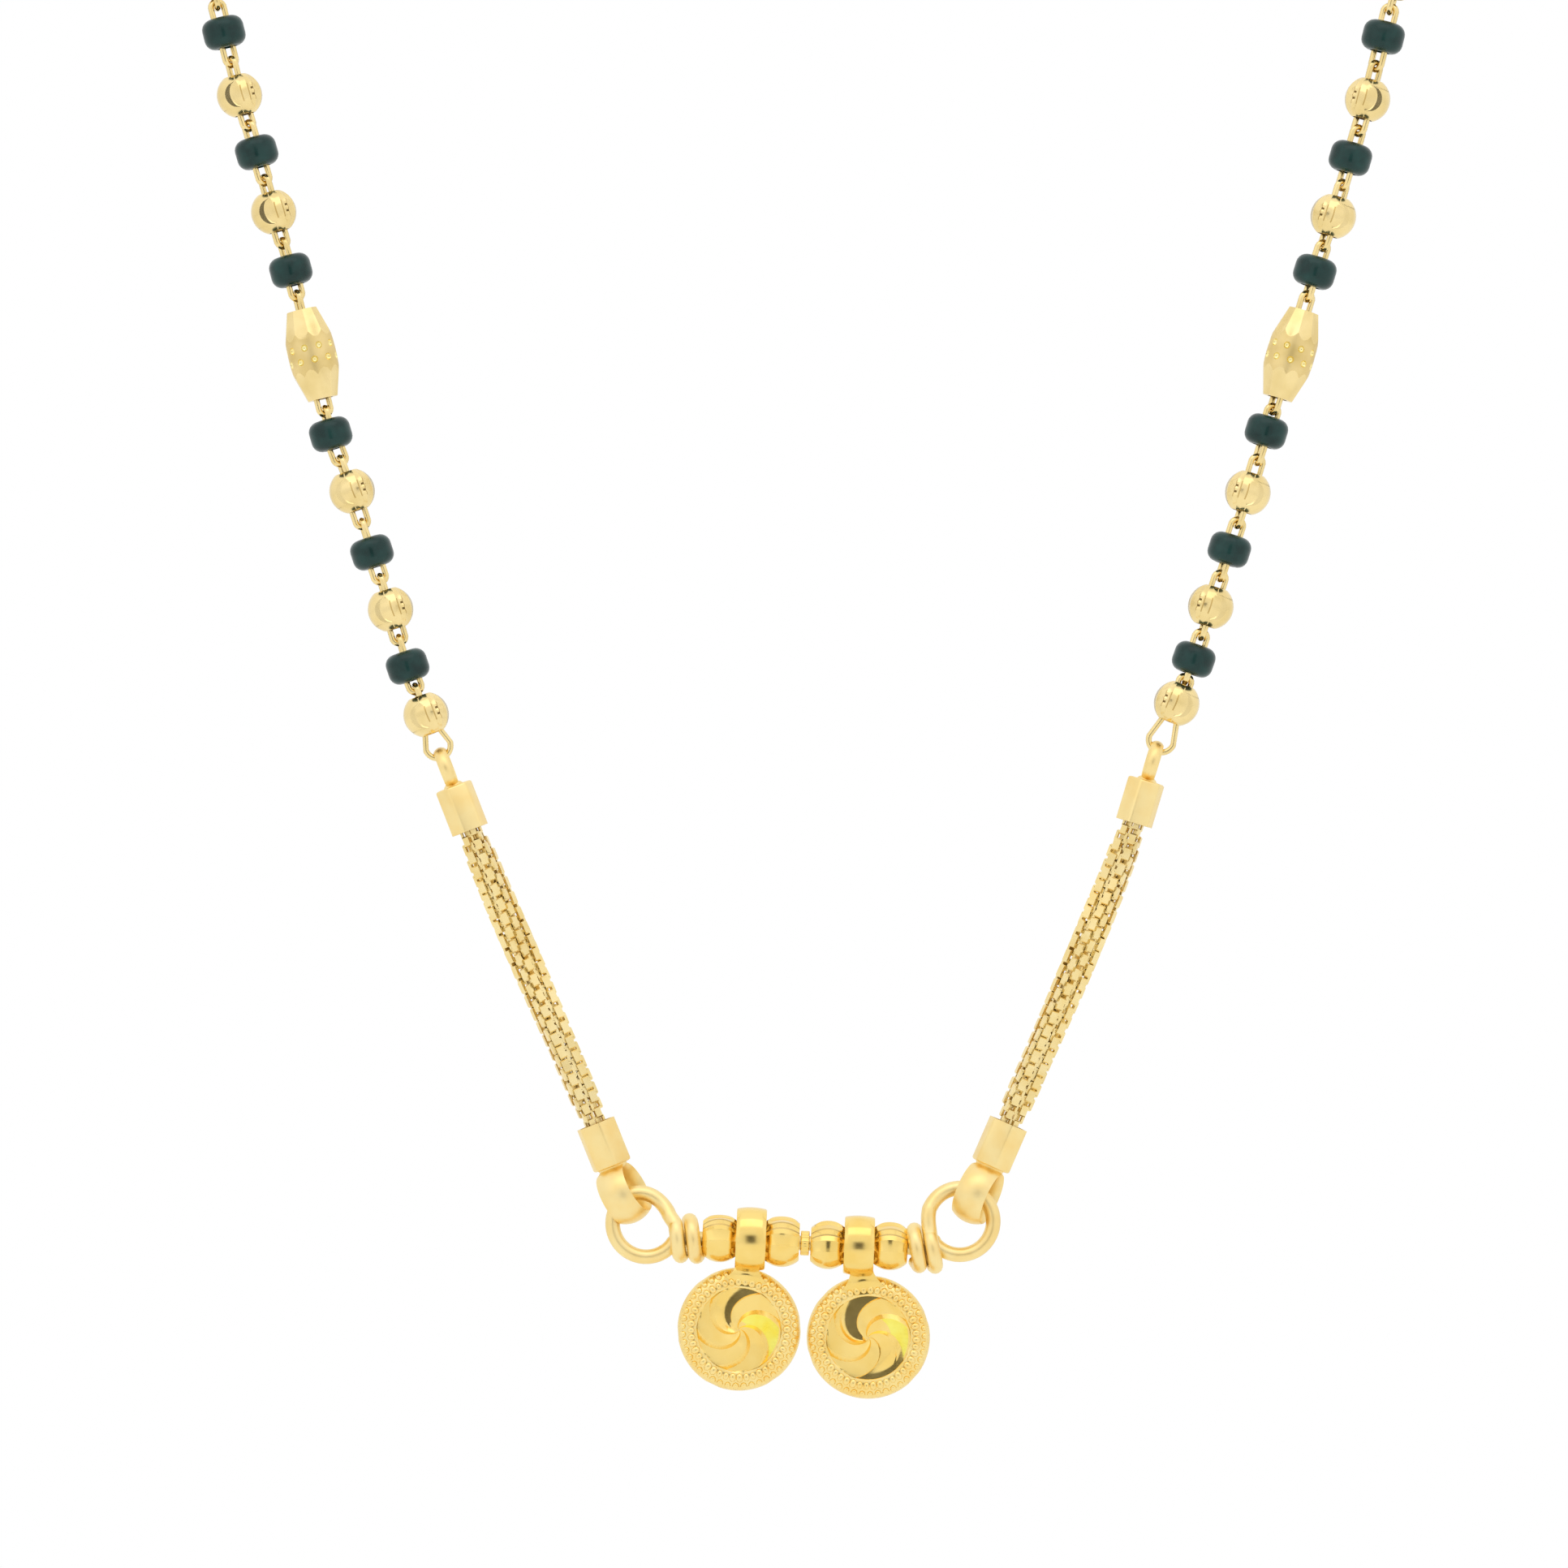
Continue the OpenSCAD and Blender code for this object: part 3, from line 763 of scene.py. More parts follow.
# %% Place the front beads
KIND_LOOKS = {
    "ball": (ball_model, string_gold, "gold"),
    "black": (black_model, black_glass, "black_glass"),
    "barrel": (barrel_model, string_gold, "gold"),
}
# Turns that bring the first facet to face the viewer, and how far each ball is turned
# on from there. Those of the right string hang the other way up.
FACING = -90
BALL_TURNS = {
    "left": {2: 0, 4: 0, 8: -6.5, 10: -4.5, 12: -6},
    "right": {2: 0, 4: -6.5, 8: -6, 10: -7, 12: -6},
}
draw = random.Random(7)

for side in SIDES:
    for i, (kind, place, up) in enumerate(zip(FRONT_KINDS, bead_places(side), bead_ups(side)), 1):
        model, material, slot_name = KIND_LOOKS[kind]
        turn = FACING - BALL_TURNS[side].get(i, draw.uniform(0, 360)) * SIGN[side]
        flip = turned("X", 180 if side == "right" and kind == "ball" else 0)
        piece = copy_at(model, f"{kind}_bead_{side}_{i}", upright(place, up, turn) @ flip)
        dress(piece, material, slot_name, f"bead_{side}_{i}")
print("front beads:", 2 * len(FRONT_KINDS))

# %% [markdown]
# ## The fine chain
#
# The chain is the old way of stringing such beads: short oval links of round wire, each
# hooked into the next and turned a quarter. A torus is one link closed up. Pulling its
# upper half away gives the straight legs, so every gap gets a link of its own length.
# Links hook into each other inside the beads and in the middle of every gap. The link
# that hangs in the cap's ring is wider at its foot, so it starts from a finer torus.

# %% Model a link
LINK_WIRE = 0.43
LINK_W = 1.36
LINK_PLAY = 0.07
LINK_R = (LINK_W - LINK_WIRE) / 2
LINK_REACH = (LINK_WIRE + LINK_PLAY) / 2


def closed_link(name, steps, sides):
    """Link before it is pulled, standing in the XZ plane with no point on its waist."""
    standing = turned("Y", 180 / steps) @ turned("X", 90)
    return wire_ring(name, LINK_R, LINK_WIRE, steps, sides, standing)


link_model = closed_link("link_model", 18, 8)
wide_link_model = closed_link("wide_link_model", 50, 12)


def link_piece(name, matrix, low, high, low_r=LINK_R, high_r=LINK_R):
    """Oval link between two wire middles on its Z axis, with a round of its own at each end."""
    link = copy_at(link_model if low_r == LINK_R else wide_link_model, name, Matrix())
    for vertex in link.data.vertices:
        flat = Vector((vertex.co.x, 0, vertex.co.z))
        upper = vertex.co.z > 0
        wider = (high_r if upper else low_r) - LINK_R
        vertex.co += flat.normalized() * wider * MM
        vertex.co.z += (high - high_r if upper else low + low_r) * MM
    link.data.transform(matrix)
    return link


def plain_link(k, matrix, span):
    """Link that hooks a little over both ends of its span."""
    return link_piece(f"link_{k}", matrix, -LINK_REACH, span.length / MM + LINK_REACH)


print("faces of a link:", len(link_model.data.polygons), len(wide_link_model.data.polygons))

# %% Hooking places of the front chain
# Half lengths of the beads in the frame, between which the links hook.
HALF_LENGTHS = {"black": BLACK_LEN / 2, "ball": 1.362, "barrel": 3.5}
HOOK_ABOVE = 0.6
HOOK_BELOW = 0.7
BARREL_HOOKS = 3


def gap_middle(places, i):
    a, b = places[i], places[i + 1]
    start = HALF_LENGTHS[FRONT_KINDS[i]] * MM
    end = (b - a).length - HALF_LENGTHS[FRONT_KINDS[i + 1]] * MM
    return a + (b - a).normalized() * (start + end) / 2


def hooks(side):
    places, ups = bead_places(side), bead_ups(side)
    last = len(places) - 1
    found = []
    for i, (kind, place, up) in enumerate(zip(FRONT_KINDS, places, ups)):
        if i == last:
            found += [place + up * HOOK_ABOVE * MM] if side == "right" else []
            found += [place - up * HOOK_BELOW * MM]
        elif kind == "barrel":
            a, b = gap_middle(places, i - 1), gap_middle(places, i)
            found += [a.lerp(b, k / (BARREL_HOOKS + 1)) for k in range(1, BARREL_HOOKS + 1)]
        else:
            found.append(place)
        if i < last:
            found.append(gap_middle(places, i))
    return found


print("hooking places in front:", len(hooks("left")), len(hooks("right")))


# %% Build the front chains
RING_LINK_R = 0.9
RING_LINK_TOP_R = 0.4
SMALL_RING_WALL = 0.45
# The links stand askew, more so towards the top, and each hangs a little its own way.
LINK_SLANT = 45
LINK_STRAY = 9


def front_chain(side):
    points = hooks(side)
    count = len(points)
    links = []
    for k in range(count - 1):
        span = points[k] - points[k + 1]
        askew = LINK_SLANT * (1 - k / count) + draw.uniform(-LINK_STRAY, LINK_STRAY)
        matrix = upright(points[k + 1], span, 90 * ((count - 1 - k) % 2) + askew)
        links.append(plain_link(k, matrix, span))
    ring = small_ring_place(side)
    span = points[-1] - ring
    low = SMALL_RING_D / 2 - SMALL_RING_WALL - LINK_WIRE / 2 - LINK_PLAY
    ends = (low, span.length / MM + LINK_REACH, RING_LINK_R, RING_LINK_TOP_R)
    links.append(link_piece("ring_link", upright(ring, span), *ends))
    dress(join(f"chain_links_{side}", links), string_gold, "gold", f"front_chain_{side}")
    return len(links)


for side in SIDES:
    print("links in front,", side, front_chain(side))

# %% [markdown]
# ## The hidden stretch
#
# Behind the photo's top edge the string goes on round the neck to the nape. Its route
# is one smooth cubic curve, the same as the frame's, and the beads follow in the same
# order at the same distances. The links follow the curve too, hooked halfway between
# beads and inside them, and turned a quarter each.

# %% The route round the neck
ROUTE_UP = (51.5, -85.0, -16.0)
ROUTE_BOW = (55.0, 0.0, 0.0)
CHAIN_END = 5.6
CURVE_STEPS = 240
BACK_KINDS = ("ball", "black", "barrel", "black", "ball", "black", "ball", "black")
SMALL_PITCH = 4.3
BARREL_PITCH = 5.95


def bezier(p, t):
    s = 1 - t
    return p[0] * s**3 + p[1] * 3 * s * s * t + p[2] * 3 * s * t * t + p[3] * t**3


def bezier_slope(p, t):
    s = 1 - t
    return (p[1] - p[0]) * s * s + (p[2] - p[1]) * 2 * s * t + (p[3] - p[2]) * t * t


def route(side):
    m = SIGN[side]
    start = middle(f"bead_{side}_1")
    return [start] + [mm(m * x, y, z) for x, y, z in (ROUTE_UP, ROUTE_BOW, (CHAIN_END, 0, 0))]


def running_lengths(p):
    sums = [0.0]
    for i in range(1, CURVE_STEPS + 1):
        step = bezier(p, i / CURVE_STEPS) - bezier(p, (i - 1) / CURVE_STEPS)
        sums.append(sums[-1] + step.length)
    return sums


def share_at(lengths, distance):
    i = next(k for k in range(1, len(lengths)) if k == CURVE_STEPS or lengths[k] >= distance)
    part = (distance - lengths[i - 1]) / (lengths[i] - lengths[i - 1])
    return (i - 1 + part) / CURVE_STEPS


def back_rows(total):
    """Kind and distance of each hidden bead, counted from the topmost front bead."""
    rows, k, s = [], 0, SMALL_PITCH
    while s * MM <= total - SMALL_PITCH / 2 * MM:
        kind, after = (BACK_KINDS[(k + j) % len(BACK_KINDS)] for j in (0, 1))
        rows.append((kind, s))
        s += BARREL_PITCH if "barrel" in (kind, after) else SMALL_PITCH
        k += 1
    return rows


# %% Carry a frame along the route
TILT_REF = Vector((0, 1, -1)).normalized()


def along(place, direction, degrees):
    """Z along any direction, with the other axes kept steady along the whole route."""
    d = direction.normalized()
    x = d.cross(TILT_REF).normalized()
    y = d.cross(x)
    axes = Matrix((x, y, d)).transposed().to_4x4()
    return Matrix.Translation(place) @ axes @ turned("Z", degrees)


def back_string(side):
    p = route(side)
    lengths = running_lengths(p)
    rows = back_rows(lengths[-1])
    beads = {"gold": [], "black": []}
    for k, (kind, distance) in enumerate(rows):
        t = share_at(lengths, distance * MM)
        matrix = along(bezier(p, t), bezier_slope(p, t), draw.uniform(0, 360))
        group = beads["black" if kind == "black" else "gold"]
        group.append(copy_at(KIND_LOOKS[kind][0], f"back_{k}", matrix))
    for colour, kind in (("gold", "ball"), ("black", "black")):
        group = join(f"hidden_{colour}_beads_{side}", beads[colour])
        dress(group, *KIND_LOOKS[kind][1:], f"back_{colour}_beads_{side}")
    return p, lengths, rows


# %% Links of the hidden stretch
def back_hooks(total, rows):
    """Distances of the hooking places, from the topmost front bead to the end ring."""
    found = [0.0]
    before = ("black", 0.0)
    for kind, distance in rows:
        start = before[1] + HALF_LENGTHS[before[0]]
        end = distance - HALF_LENGTHS[kind]
        found.append((start + end) / 2)
        before = (kind, distance)
        if kind == "barrel":
            reach = HALF_LENGTHS["barrel"] + (end - start) / 2
            steps = BARREL_HOOKS + 1
            found += [distance - reach + 2 * reach * k / steps for k in range(1, steps)]
        else:
            found.append(distance)
    found.append((before[1] + HALF_LENGTHS[before[0]] + total / MM) / 2)
    found.append(total / MM - LINK_REACH)
    return found


def back_chain(side, p, lengths, rows):
    places = back_hooks(lengths[-1], rows)
    points = [bezier(p, share_at(lengths, s * MM)) for s in places]
    links = []
    for k, (a, b) in enumerate(zip(points, points[1:])):
        links.append(plain_link(k, along(a, b - a, 90 * (k % 2)), b - a))
    dress(join(f"hidden_chain_links_{side}", links), string_gold, "gold", f"back_chain_{side}")
    return len(links)


for side in SIDES:
    p, lengths, rows = back_string(side)
    print("hidden stretch", side, round(lengths[-1] / MM, 1), "mm,", len(rows), "beads,", end=" ")
    print(back_chain(side, p, lengths, rows), "links")

# %% [markdown]
# ## Caps with their soldered rings
#
# A cap is a short six-sided tube that the chains are soldered into, closed by a rounded
# shoulder with a ring on top. A six-sided cylinder starts it. Its long edges get a fine
# bevel, the closed end is drawn in by extrusions, and the open end is inset and pushed
# in to make the pocket. The ring is a puffed band spun from a lens-shaped section, and
# a small mound of solder joins the two into one piece.

# %% Model a cap
CAP_EDGE = 0.16
CAP_POCKET_WALL = 0.16
CAP_SHOULDER = 0.45
# Steps of the closed end: how far each rises, and what share of the width is left.
CAP_DOME = ((0.09, 0.97), (0.05, 0.93), (0.02, 0.86))


def step(rise, share):
    """Extrudes the selected face along Z and shrinks it about its own middle."""
    bpy.ops.mesh.extrude_region_move(TRANSFORM_OT_translate={"value": mm(0, 0, rise)})
    bpy.ops.transform.resize(value=(share, share, 1))


def cap(name, flats, height):
    """Six-sided cap with its foot at the origin, its open end down."""
    obj = rod(name, 6, flats / 2 / math.cos(math.pi / 6), height)
    obj.data.transform(Matrix.Translation(mm(0, 0, height / 2)) @ turned("Z", 30))
    round_edges(obj, CAP_EDGE, 3, lambda edge: run_along(edge, "z") > height / 2 * MM)
    with editing(obj):
        pick(obj, "faces", lambda f: f.normal.z > 0.9)
        bpy.ops.transform.translate(value=mm(0, 0, -sum(rise for rise, _ in CAP_DOME)))
        for rise, share in CAP_DOME:
            step(rise, share)
        pick(obj, "faces", lambda f: f.normal.z < -0.9)
        step(0, 1 - CAP_POCKET_WALL / (flats / 2))
        step(height - CAP_SHOULDER, 1)
    return obj


# %% Model a band ring and its solder
BAND_STEPS = 8
SOLDER_SINK = (0.013, 0.009, -0.07)


def band_ring(outer_d, wall, wide, matrix):
    """Puffed band with its axis on Z, spun from a section with two domed faces."""
    dome = ((wide / 2) ** 2 + (wall / 2) ** 2) / wall
    half_angle = math.asin(wide / 2 / dome)
    mid = outer_d / 2 - wall / 2
    outline = []
    for face in (1, -1):
        for i in range(BAND_STEPS):
            a = half_angle * (1 - 2 * i / BAND_STEPS)
            bulge = dome * math.cos(a) - dome * math.cos(half_angle)
            outline.append((mid + face * bulge, face * dome * math.sin(a)))
    ring = revolve("ring", outline, 64)
    ring.data.transform(matrix)
    return ring


def solder(radius, height, matrix):
    """Low mound of solder round the place where a ring stands on its cap."""
    blob = round_ball("solder", radius, 24, 12)
    sink = Matrix.Translation(mm(*SOLDER_SINK))
    blob.data.transform(matrix @ sink @ Matrix.Diagonal((1, 1, height / radius, 1)))
    return blob


# %% Finish the four caps
# Of the upper and of the lower caps: width over the flats, turn, the ring's diameter,
# wall and width, and the radius and height of the solder.
UPPER_CAP = (2.4, 12, (SMALL_RING_D, SMALL_RING_WALL, 0.9), (0.72, 0.4))
LOWER_CAP = (2.6, 18, (4.4, 0.65, 2.2), (1.08, 0.56))
LARGE_RING_LEAN = {"left": -29, "right": 23}
LARGE_RING_TURN = 16


def finish_cap(name, node, foot, top, ring_place, sizes):
    flats, turn, ring, mound = sizes
    up = top - foot
    obj = cap(name, flats, up.length / MM)
    obj.data.transform(upright(foot, up, turn))
    band = band_ring(*ring, ring_place @ turned("Y", 90))
    combine(obj, solder(*mound, upright(top, up)))
    combine(obj, band)
    smooth(obj)
    dress(obj, satin_gold, "satin_gold", node)
    print(node, len(obj.data.polygons), "faces")


for side in SIDES:
    top, foot, low_foot, low_top, large_ring = cap_ends(side)
    place = upright(small_ring_place(side), top - foot)
    finish_cap(f"top_cap_{side}", f"upper_cap_{side}", foot, top, place, UPPER_CAP)
    lean = turned("Y", LARGE_RING_LEAN[side]) @ turned("Z", -LARGE_RING_TURN)
    place = Matrix.Translation(large_ring) @ lean
    finish_cap(f"foot_cap_{side}", f"lower_cap_{side}", low_foot, low_top, place, LOWER_CAP)

# %% [markdown]
# ## Bundles of box chain
#
# Between its two caps each side has four box chains laid together and slowly turned.
# A box link is a square ring bent from flat strip. Each hooks into the next and stands
# a quarter turn to it, which gives the woven look of small plates and dark slots. One
# link is modelled with few faces, because it is copied about four hundred times. The
# turn is chosen so that no row of plates ever faces the viewer squarely, where all of
# them would mirror the same dark spot.

# %% Model a box link
STRAND = 0.93
STRIP = 0.2
STRIP_W = 0.52
STRIP_EDGE = 0.09


def box_link(name):
    bpy.ops.mesh.primitive_cube_add(size=1)
    link = named(name)
    link.data.transform(Matrix.Diagonal((STRAND * MM, STRIP_W * MM, STRAND * MM, 1)))
    round_edges(link, STRIP_EDGE, 1, lambda edge: run_along(edge, "y") > STRIP_W / 2 * MM)
    with editing(link):
        pick(link, "faces", lambda f: abs(f.normal.y) > 0.9)
        bpy.ops.mesh.inset(thickness=STRIP * MM)
        bpy.ops.mesh.bridge_edge_loops()
    smooth(link, 30)
    return link


link_box_model = box_link("link_box_model")
print("faces of a box link:", len(link_box_model.data.polygons))

# %% Lay the four chains of a bundle
BUNDLE_INSET = 1.5
BUNDLE_PULL = 5.0
BUNDLE_PINCH = 0.72
PINCH_END = 0.2
PINCH_FADE = 1.6
STRAND_OFFSET = 0.46
BOX_PITCH = STRAND - 2 * STRIP
# Degrees that the bundle is turned at its upper cap, and that it twists on from there,
# over which share of its route.
BUNDLE_TURN = 14
BUNDLE_TWIST = 62
TWIST_FROM = 0.12
TWIST_OVER = 0.6
# How far each chain slides up and down against the others, and over what length.
STRAND_SLIDE = 0.12
SLIDE_LENGTH = 9.0
# Degrees that a link may be turned and tipped by chance.
BOX_TURN = 5
BOX_TIP = 3


def bundle_route(side):
    top, foot, low_foot, low_top = cap_ends(side)[:4]
    in_top = (top - foot).normalized() * MM
    in_low = (low_top - low_foot).normalized() * MM
    return [
        foot + in_top * BUNDLE_INSET,
        foot - in_top * BUNDLE_PULL,
        low_foot - in_low * BUNDLE_PULL,
        low_foot + in_low * BUNDLE_INSET,
    ]


def bundle(side):
    p = bundle_route(side)
    lengths = running_lengths(p)
    total = lengths[-1] / MM
    count = int(total / BOX_PITCH)
    links = []
    for k in range(count + 1):
        s = total * k / count
        t = share_at(lengths, s * MM)
        from_end = min(s, total - s)
        grow = min(max((from_end - BUNDLE_INSET - PINCH_END) / PINCH_FADE, 0), 1)
        size = BUNDLE_PINCH + (1 - BUNDLE_PINCH) * grow
        twist = BUNDLE_TURN + BUNDLE_TWIST * ease((t - TWIST_FROM) / TWIST_OVER)
        core = upright(bezier(p, t), bezier_slope(p, t), twist)
        for q in range(4):
            reach = STRAND_OFFSET * math.sqrt(2) * size
            slide = STRAND_SLIDE * math.sin(TURN * (s / SLIDE_LENGTH + q / 4)) * grow
            matrix = (
                core
                @ Matrix.Translation(polar(reach, math.radians(45 + 90 * q), slide))
                @ turned("Z", 90 * ((k + q) % 2) + draw.uniform(-BOX_TURN, BOX_TURN))
                @ turned("X", draw.uniform(-BOX_TIP, BOX_TIP))
                @ Matrix.Scale(size, 4)
            )
            links.append(copy_at(link_box_model, f"box_{k}_{q}", matrix))
    dress(join(f"box_chains_{side}", links), woven_gold, "gold", f"bundle_{side}")
    return len(links)


for side in SIDES:
    print("box links", side, bundle(side))

# %% [markdown]
# ## The bar and its eyes
#
# The bar is one thick wire. It runs through the balls and bails, swings out into an eye
# at each end, comes back and wraps twice round itself. A curve with round thickness is
# the natural way to make a wire. Its points come from three simple rules, one for the
# eye, one for the wraps and one for the straight part, and it is turned into a mesh.

# %% Where the bar lies
BAR_WIRE = 1.05
EYE_D = 5.75

bar_balls = [middle(f"bar_ball_{i}") for i in (1, 2, 3, 4)]
bar_middle = middle("bar_spacer")
bar_along = (bar_balls[3] - bar_balls[0]).normalized()
bar_tilt = math.atan2(-bar_along.z, bar_along.x)
wire_low, wire_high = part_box("bar_wire")
print("the bar tilts by", round(math.degrees(bar_tilt), 2), "degrees")


def eye_middle(side):
    edge = wire_low.x if side == "left" else wire_high.x
    reach = EYE_D / 2 * MM
    return Vector((edge - SIGN[side] * reach, FRONT_Y * MM, wire_high.z - reach))


def bar_point(s, out=0.0, angle=0.0):
    """Place at distance s along the bar and `out` from it; angle 0 is up, 90 is front."""
    place = bar_middle + bar_along * s * MM
    up = Vector((math.sin(bar_tilt), 0, math.cos(bar_tilt)))
    return place + (up * math.cos(angle) + Vector((0, -1, 0)) * math.sin(angle)) * out * MM


# %% Route of the wire on one side
STRAIGHT_PART = (0, 3, 6, 8, 8.8)
EYE_DEGREES = range(-34, -343, -9)
# The right eye is nearly round. The left one is flattened next to the coils.
EYE_SHRINK = {"left": 0.62, "right": 0.05}
EYE_SHIFT = {"left": (0, 0, 0), "right": (-0.08, 0, 0.14)}
SHRINK_FROM = -225
SHRINK_OVER = 100
# The eye's last points come forward, by a share of the coil's radius, to meet it.
LIFTED = 6
LIFT = 0.35
WRAP_R = 1.25
WRAP_START = 9.25
WRAP_STEP = 1.12
WRAP_TURNS = 1.6
WRAP_POINTS = 26
WRAP_SKIPPED = 3
WRAP_LEAN = {"left": 0.02, "right": 0.5}


def wraps(side):
    """Coils from the eye towards the balls, starting at the top in front of the bar."""
    points = []
    for i in range(WRAP_SKIPPED, round(WRAP_POINTS * WRAP_TURNS) + 1):
        turns = i / WRAP_POINTS
        lean = -WRAP_LEAN[side] * math.cos(TURN * turns)
        s = SIGN[side] * (WRAP_START - WRAP_STEP * turns) + lean
        points.append(bar_point(s, WRAP_R, TURN * turns))
    return points


def eye(side):
    """Loop from the bar's end, down and round, to the top of the first coil."""
    centre = eye_middle(side) + mm(*EYE_SHIFT[side])
    points = []
    for degrees in EYE_DEGREES:
        angle = math.radians(degrees)
        flat = Vector((-SIGN[side] * math.cos(angle), 0, math.sin(angle)))
        shrink = EYE_SHRINK[side] * ease((SHRINK_FROM - degrees) / SHRINK_OVER)
        points.append(centre + flat * ((EYE_D - BAR_WIRE) / 2 - shrink) * MM)
    for i, point in enumerate(points[-LIFTED:], 1):
        point.y -= WRAP_R * MM * LIFT * (i / LIFTED) ** 2
    return points


def half_wire(side):
    return [bar_point(SIGN[side] * s) for s in STRAIGHT_PART] + eye(side) + wraps(side)


print("places along the wire:", len(half_wire("left")), "on each side")


# %% Build the wire
def wire_piece(name, points, thickness, sides=8):
    """Round wire along a list of places, as one open curve turned into a mesh."""
    curve = bpy.data.curves.new(name, "CURVE")
    curve.dimensions = "3D"
    curve.bevel_depth = thickness / 2 * MM
    curve.bevel_resolution = sides // 2
    curve.use_fill_caps = True
    curve.resolution_u = 5
    spline = curve.splines.new("BEZIER")
    spline.bezier_points.add(len(points) - 1)
    for knot, point in zip(spline.bezier_points, points):
        knot.co = point
        knot.handle_left_type = "AUTO"
        knot.handle_right_type = "AUTO"
    only(put_in_scene(name, curve))
    bpy.ops.object.convert(target="MESH")
    obj = named(name)
    with editing(obj, "VERT"):
        pick_all()
        bpy.ops.mesh.remove_doubles(threshold=MERGE)
    smooth(obj, 60)
    return obj


bar = wire_piece("bar_with_eyes", half_wire("left")[::-1] + half_wire("right")[1:], BAR_WIRE, 10)
dress(bar, satin_gold, "satin_gold", "bar_wire")
print("faces of the bar:", len(bar.data.polygons))

# %% [markdown]
# ## Balls and spacer on the bar
#
# The four balls on the bar are moon-cut too, and hang so that the edges of their cuts
# arch over the top, one inside the other. They are not all of one size, and they sit
# loosely on the wire. Between the middle two is a small spacer: a short tube whose
# outside is pressed into ribs, which is a cylinder with every other corner drawn in.

# %% Place the bar balls
BAR_BALL_LEN = 2.45
BAR_BORE = 1.3
# Diameter, turn, and how far each one sits up from the wire's middle.
BAR_BALLS = ((3.4, 196, 0.12), (3.6, 200, 0.06), (3.4, 208, -0.05), (3.4, 204, 0.05))

for i, (place, (diameter, turn, rise)) in enumerate(zip(bar_balls, BAR_BALLS), 1):
    piece = moon_cut_ball(
        f"cut_ball_{i}", diameter, BAR_BALL_LEN, BAR_BORE, pendant_gold, BAR_CUTS, 14
    )
    piece.data.transform(upright(place + mm(0, 0, rise), bar_along, turn))
    dress(piece, pendant_gold, "gold", f"bar_ball_{i}")
    print("faces of", piece.name, len(piece.data.polygons))

# %% Build the spacer
SPACER_D = 1.75
SPACER_LEN = 0.6
SPACER_CORNERS = 28
SPACER_GROOVE = 0.9
SPACER_EDGE = 0.05

spacer = rod("ribbed_spacer", SPACER_CORNERS, SPACER_D / 2, SPACER_LEN)
for vertex in spacer.data.vertices:
    if round(share_of_turn(vertex.co) * SPACER_CORNERS) % 2:
        vertex.co.xy *= SPACER_GROOVE
bore_through(spacer, BAR_BORE)
apply_modifier(spacer, "BEVEL", width=SPACER_EDGE * MM, segments=2, limit_method="ANGLE")
spacer.data.transform(upright(bar_middle, bar_along))
smooth(spacer)
dress(spacer, pendant_gold, "gold", "bar_spacer")
print("faces of the spacer:", len(spacer.data.polygons))

# %% [markdown]
# ## The pendants
#
# Each pendant is a round cup, a vati, with a granulated border round a polished field
# of whirling blades. The disc is spun from its outline with rings of points across the
# field. Then the field's points are moved. Each blade is one face, cut by a spinning
# wheel. It starts low behind the crest of the blade before it, and rises to its own
# crest. The crests are spirals, which turn by the same angle for each step outwards.
# On one or two blades of each disc, part of the face lies level and low instead.

# %% Spin the disc
DISC_D = 8.66
DISC_H = 1.1
BLADES = 6
BLADE_COLUMNS = 12
FIELD_R = 2.95
FIELD_Z = 0.36
FIELD_RINGS = (0.03, 0.12, 0.25, 0.42, 0.62, 0.85, 1.1, 1.35, 1.6, 1.85, 2.1, 2.35, 2.6, 2.8, 2.92)
# The border's profile as (radius, height), from the field out to the cup's side.
BORDER = (
    (FIELD_R, FIELD_Z),
    (3.08, 0.4),
    (3.24, 0.43),
    (3.45, 0.41),
    (3.7, 0.34),
    (3.92, 0.24),
    (4.1, 0.08),
    (4.22, -0.1),
    (4.3, -0.28),
    (DISC_D / 2, -0.42),
)
CUP = ((3.6, -0.35), (2.77, -0.16), (0.03, -0.12))
CUP_RIM = 0.35
CUP_EDGE = 0.06


def disc_outline():
    r, back = DISC_D / 2, -DISC_H / 2
    field = [(ring, FIELD_Z) for ring in FIELD_RINGS]
    rim = [(r, back + CUP_EDGE), (r - CUP_EDGE, back), (r - CUP_RIM, back)]
    return [*field, *BORDER, *rim, *CUP]


disc_model = revolve("disc_model", disc_outline(), BLADES * BLADE_COLUMNS)
print("faces of a disc:", len(disc_model.data.polygons))

# %% Where a blade turns and rises
FIELD_SWELL = 0.1
LEVEL_Z = -0.1
BLADE_PITCH = 360 / BLADES
BLADE_START = 165
BLADE_SPIRAL = -100
BLADE_DEPTH = 0.23
# Shares of the field's radius: the blades curl within the first one and have their full
# depth from the second. The power lets the depth go only at the very rim.
BLADE_CURL = 30
CURL_WITHIN = 0.25
FULL_FROM = 0.3
RIM_POWER = 300
# A blade that lies level has a steep wall before it. The others have a soft one.
STEEP_WALL = 3
SOFT_WALL = 14


def blade_angle(part, column, wall):
    """Angle of a column within its blade at a share of the field's radius."""
    part = min(part, 1.0)
    start = BLADE_START + BLADE_SPIRAL * part + BLADE_CURL * max(0.0, 1 - part / CURL_WITHIN) ** 2
    if column == 0:
        return start
    share = (column - 1) / (BLADE_COLUMNS - 1)
    return start + wall + (BLADE_PITCH - wall) * share


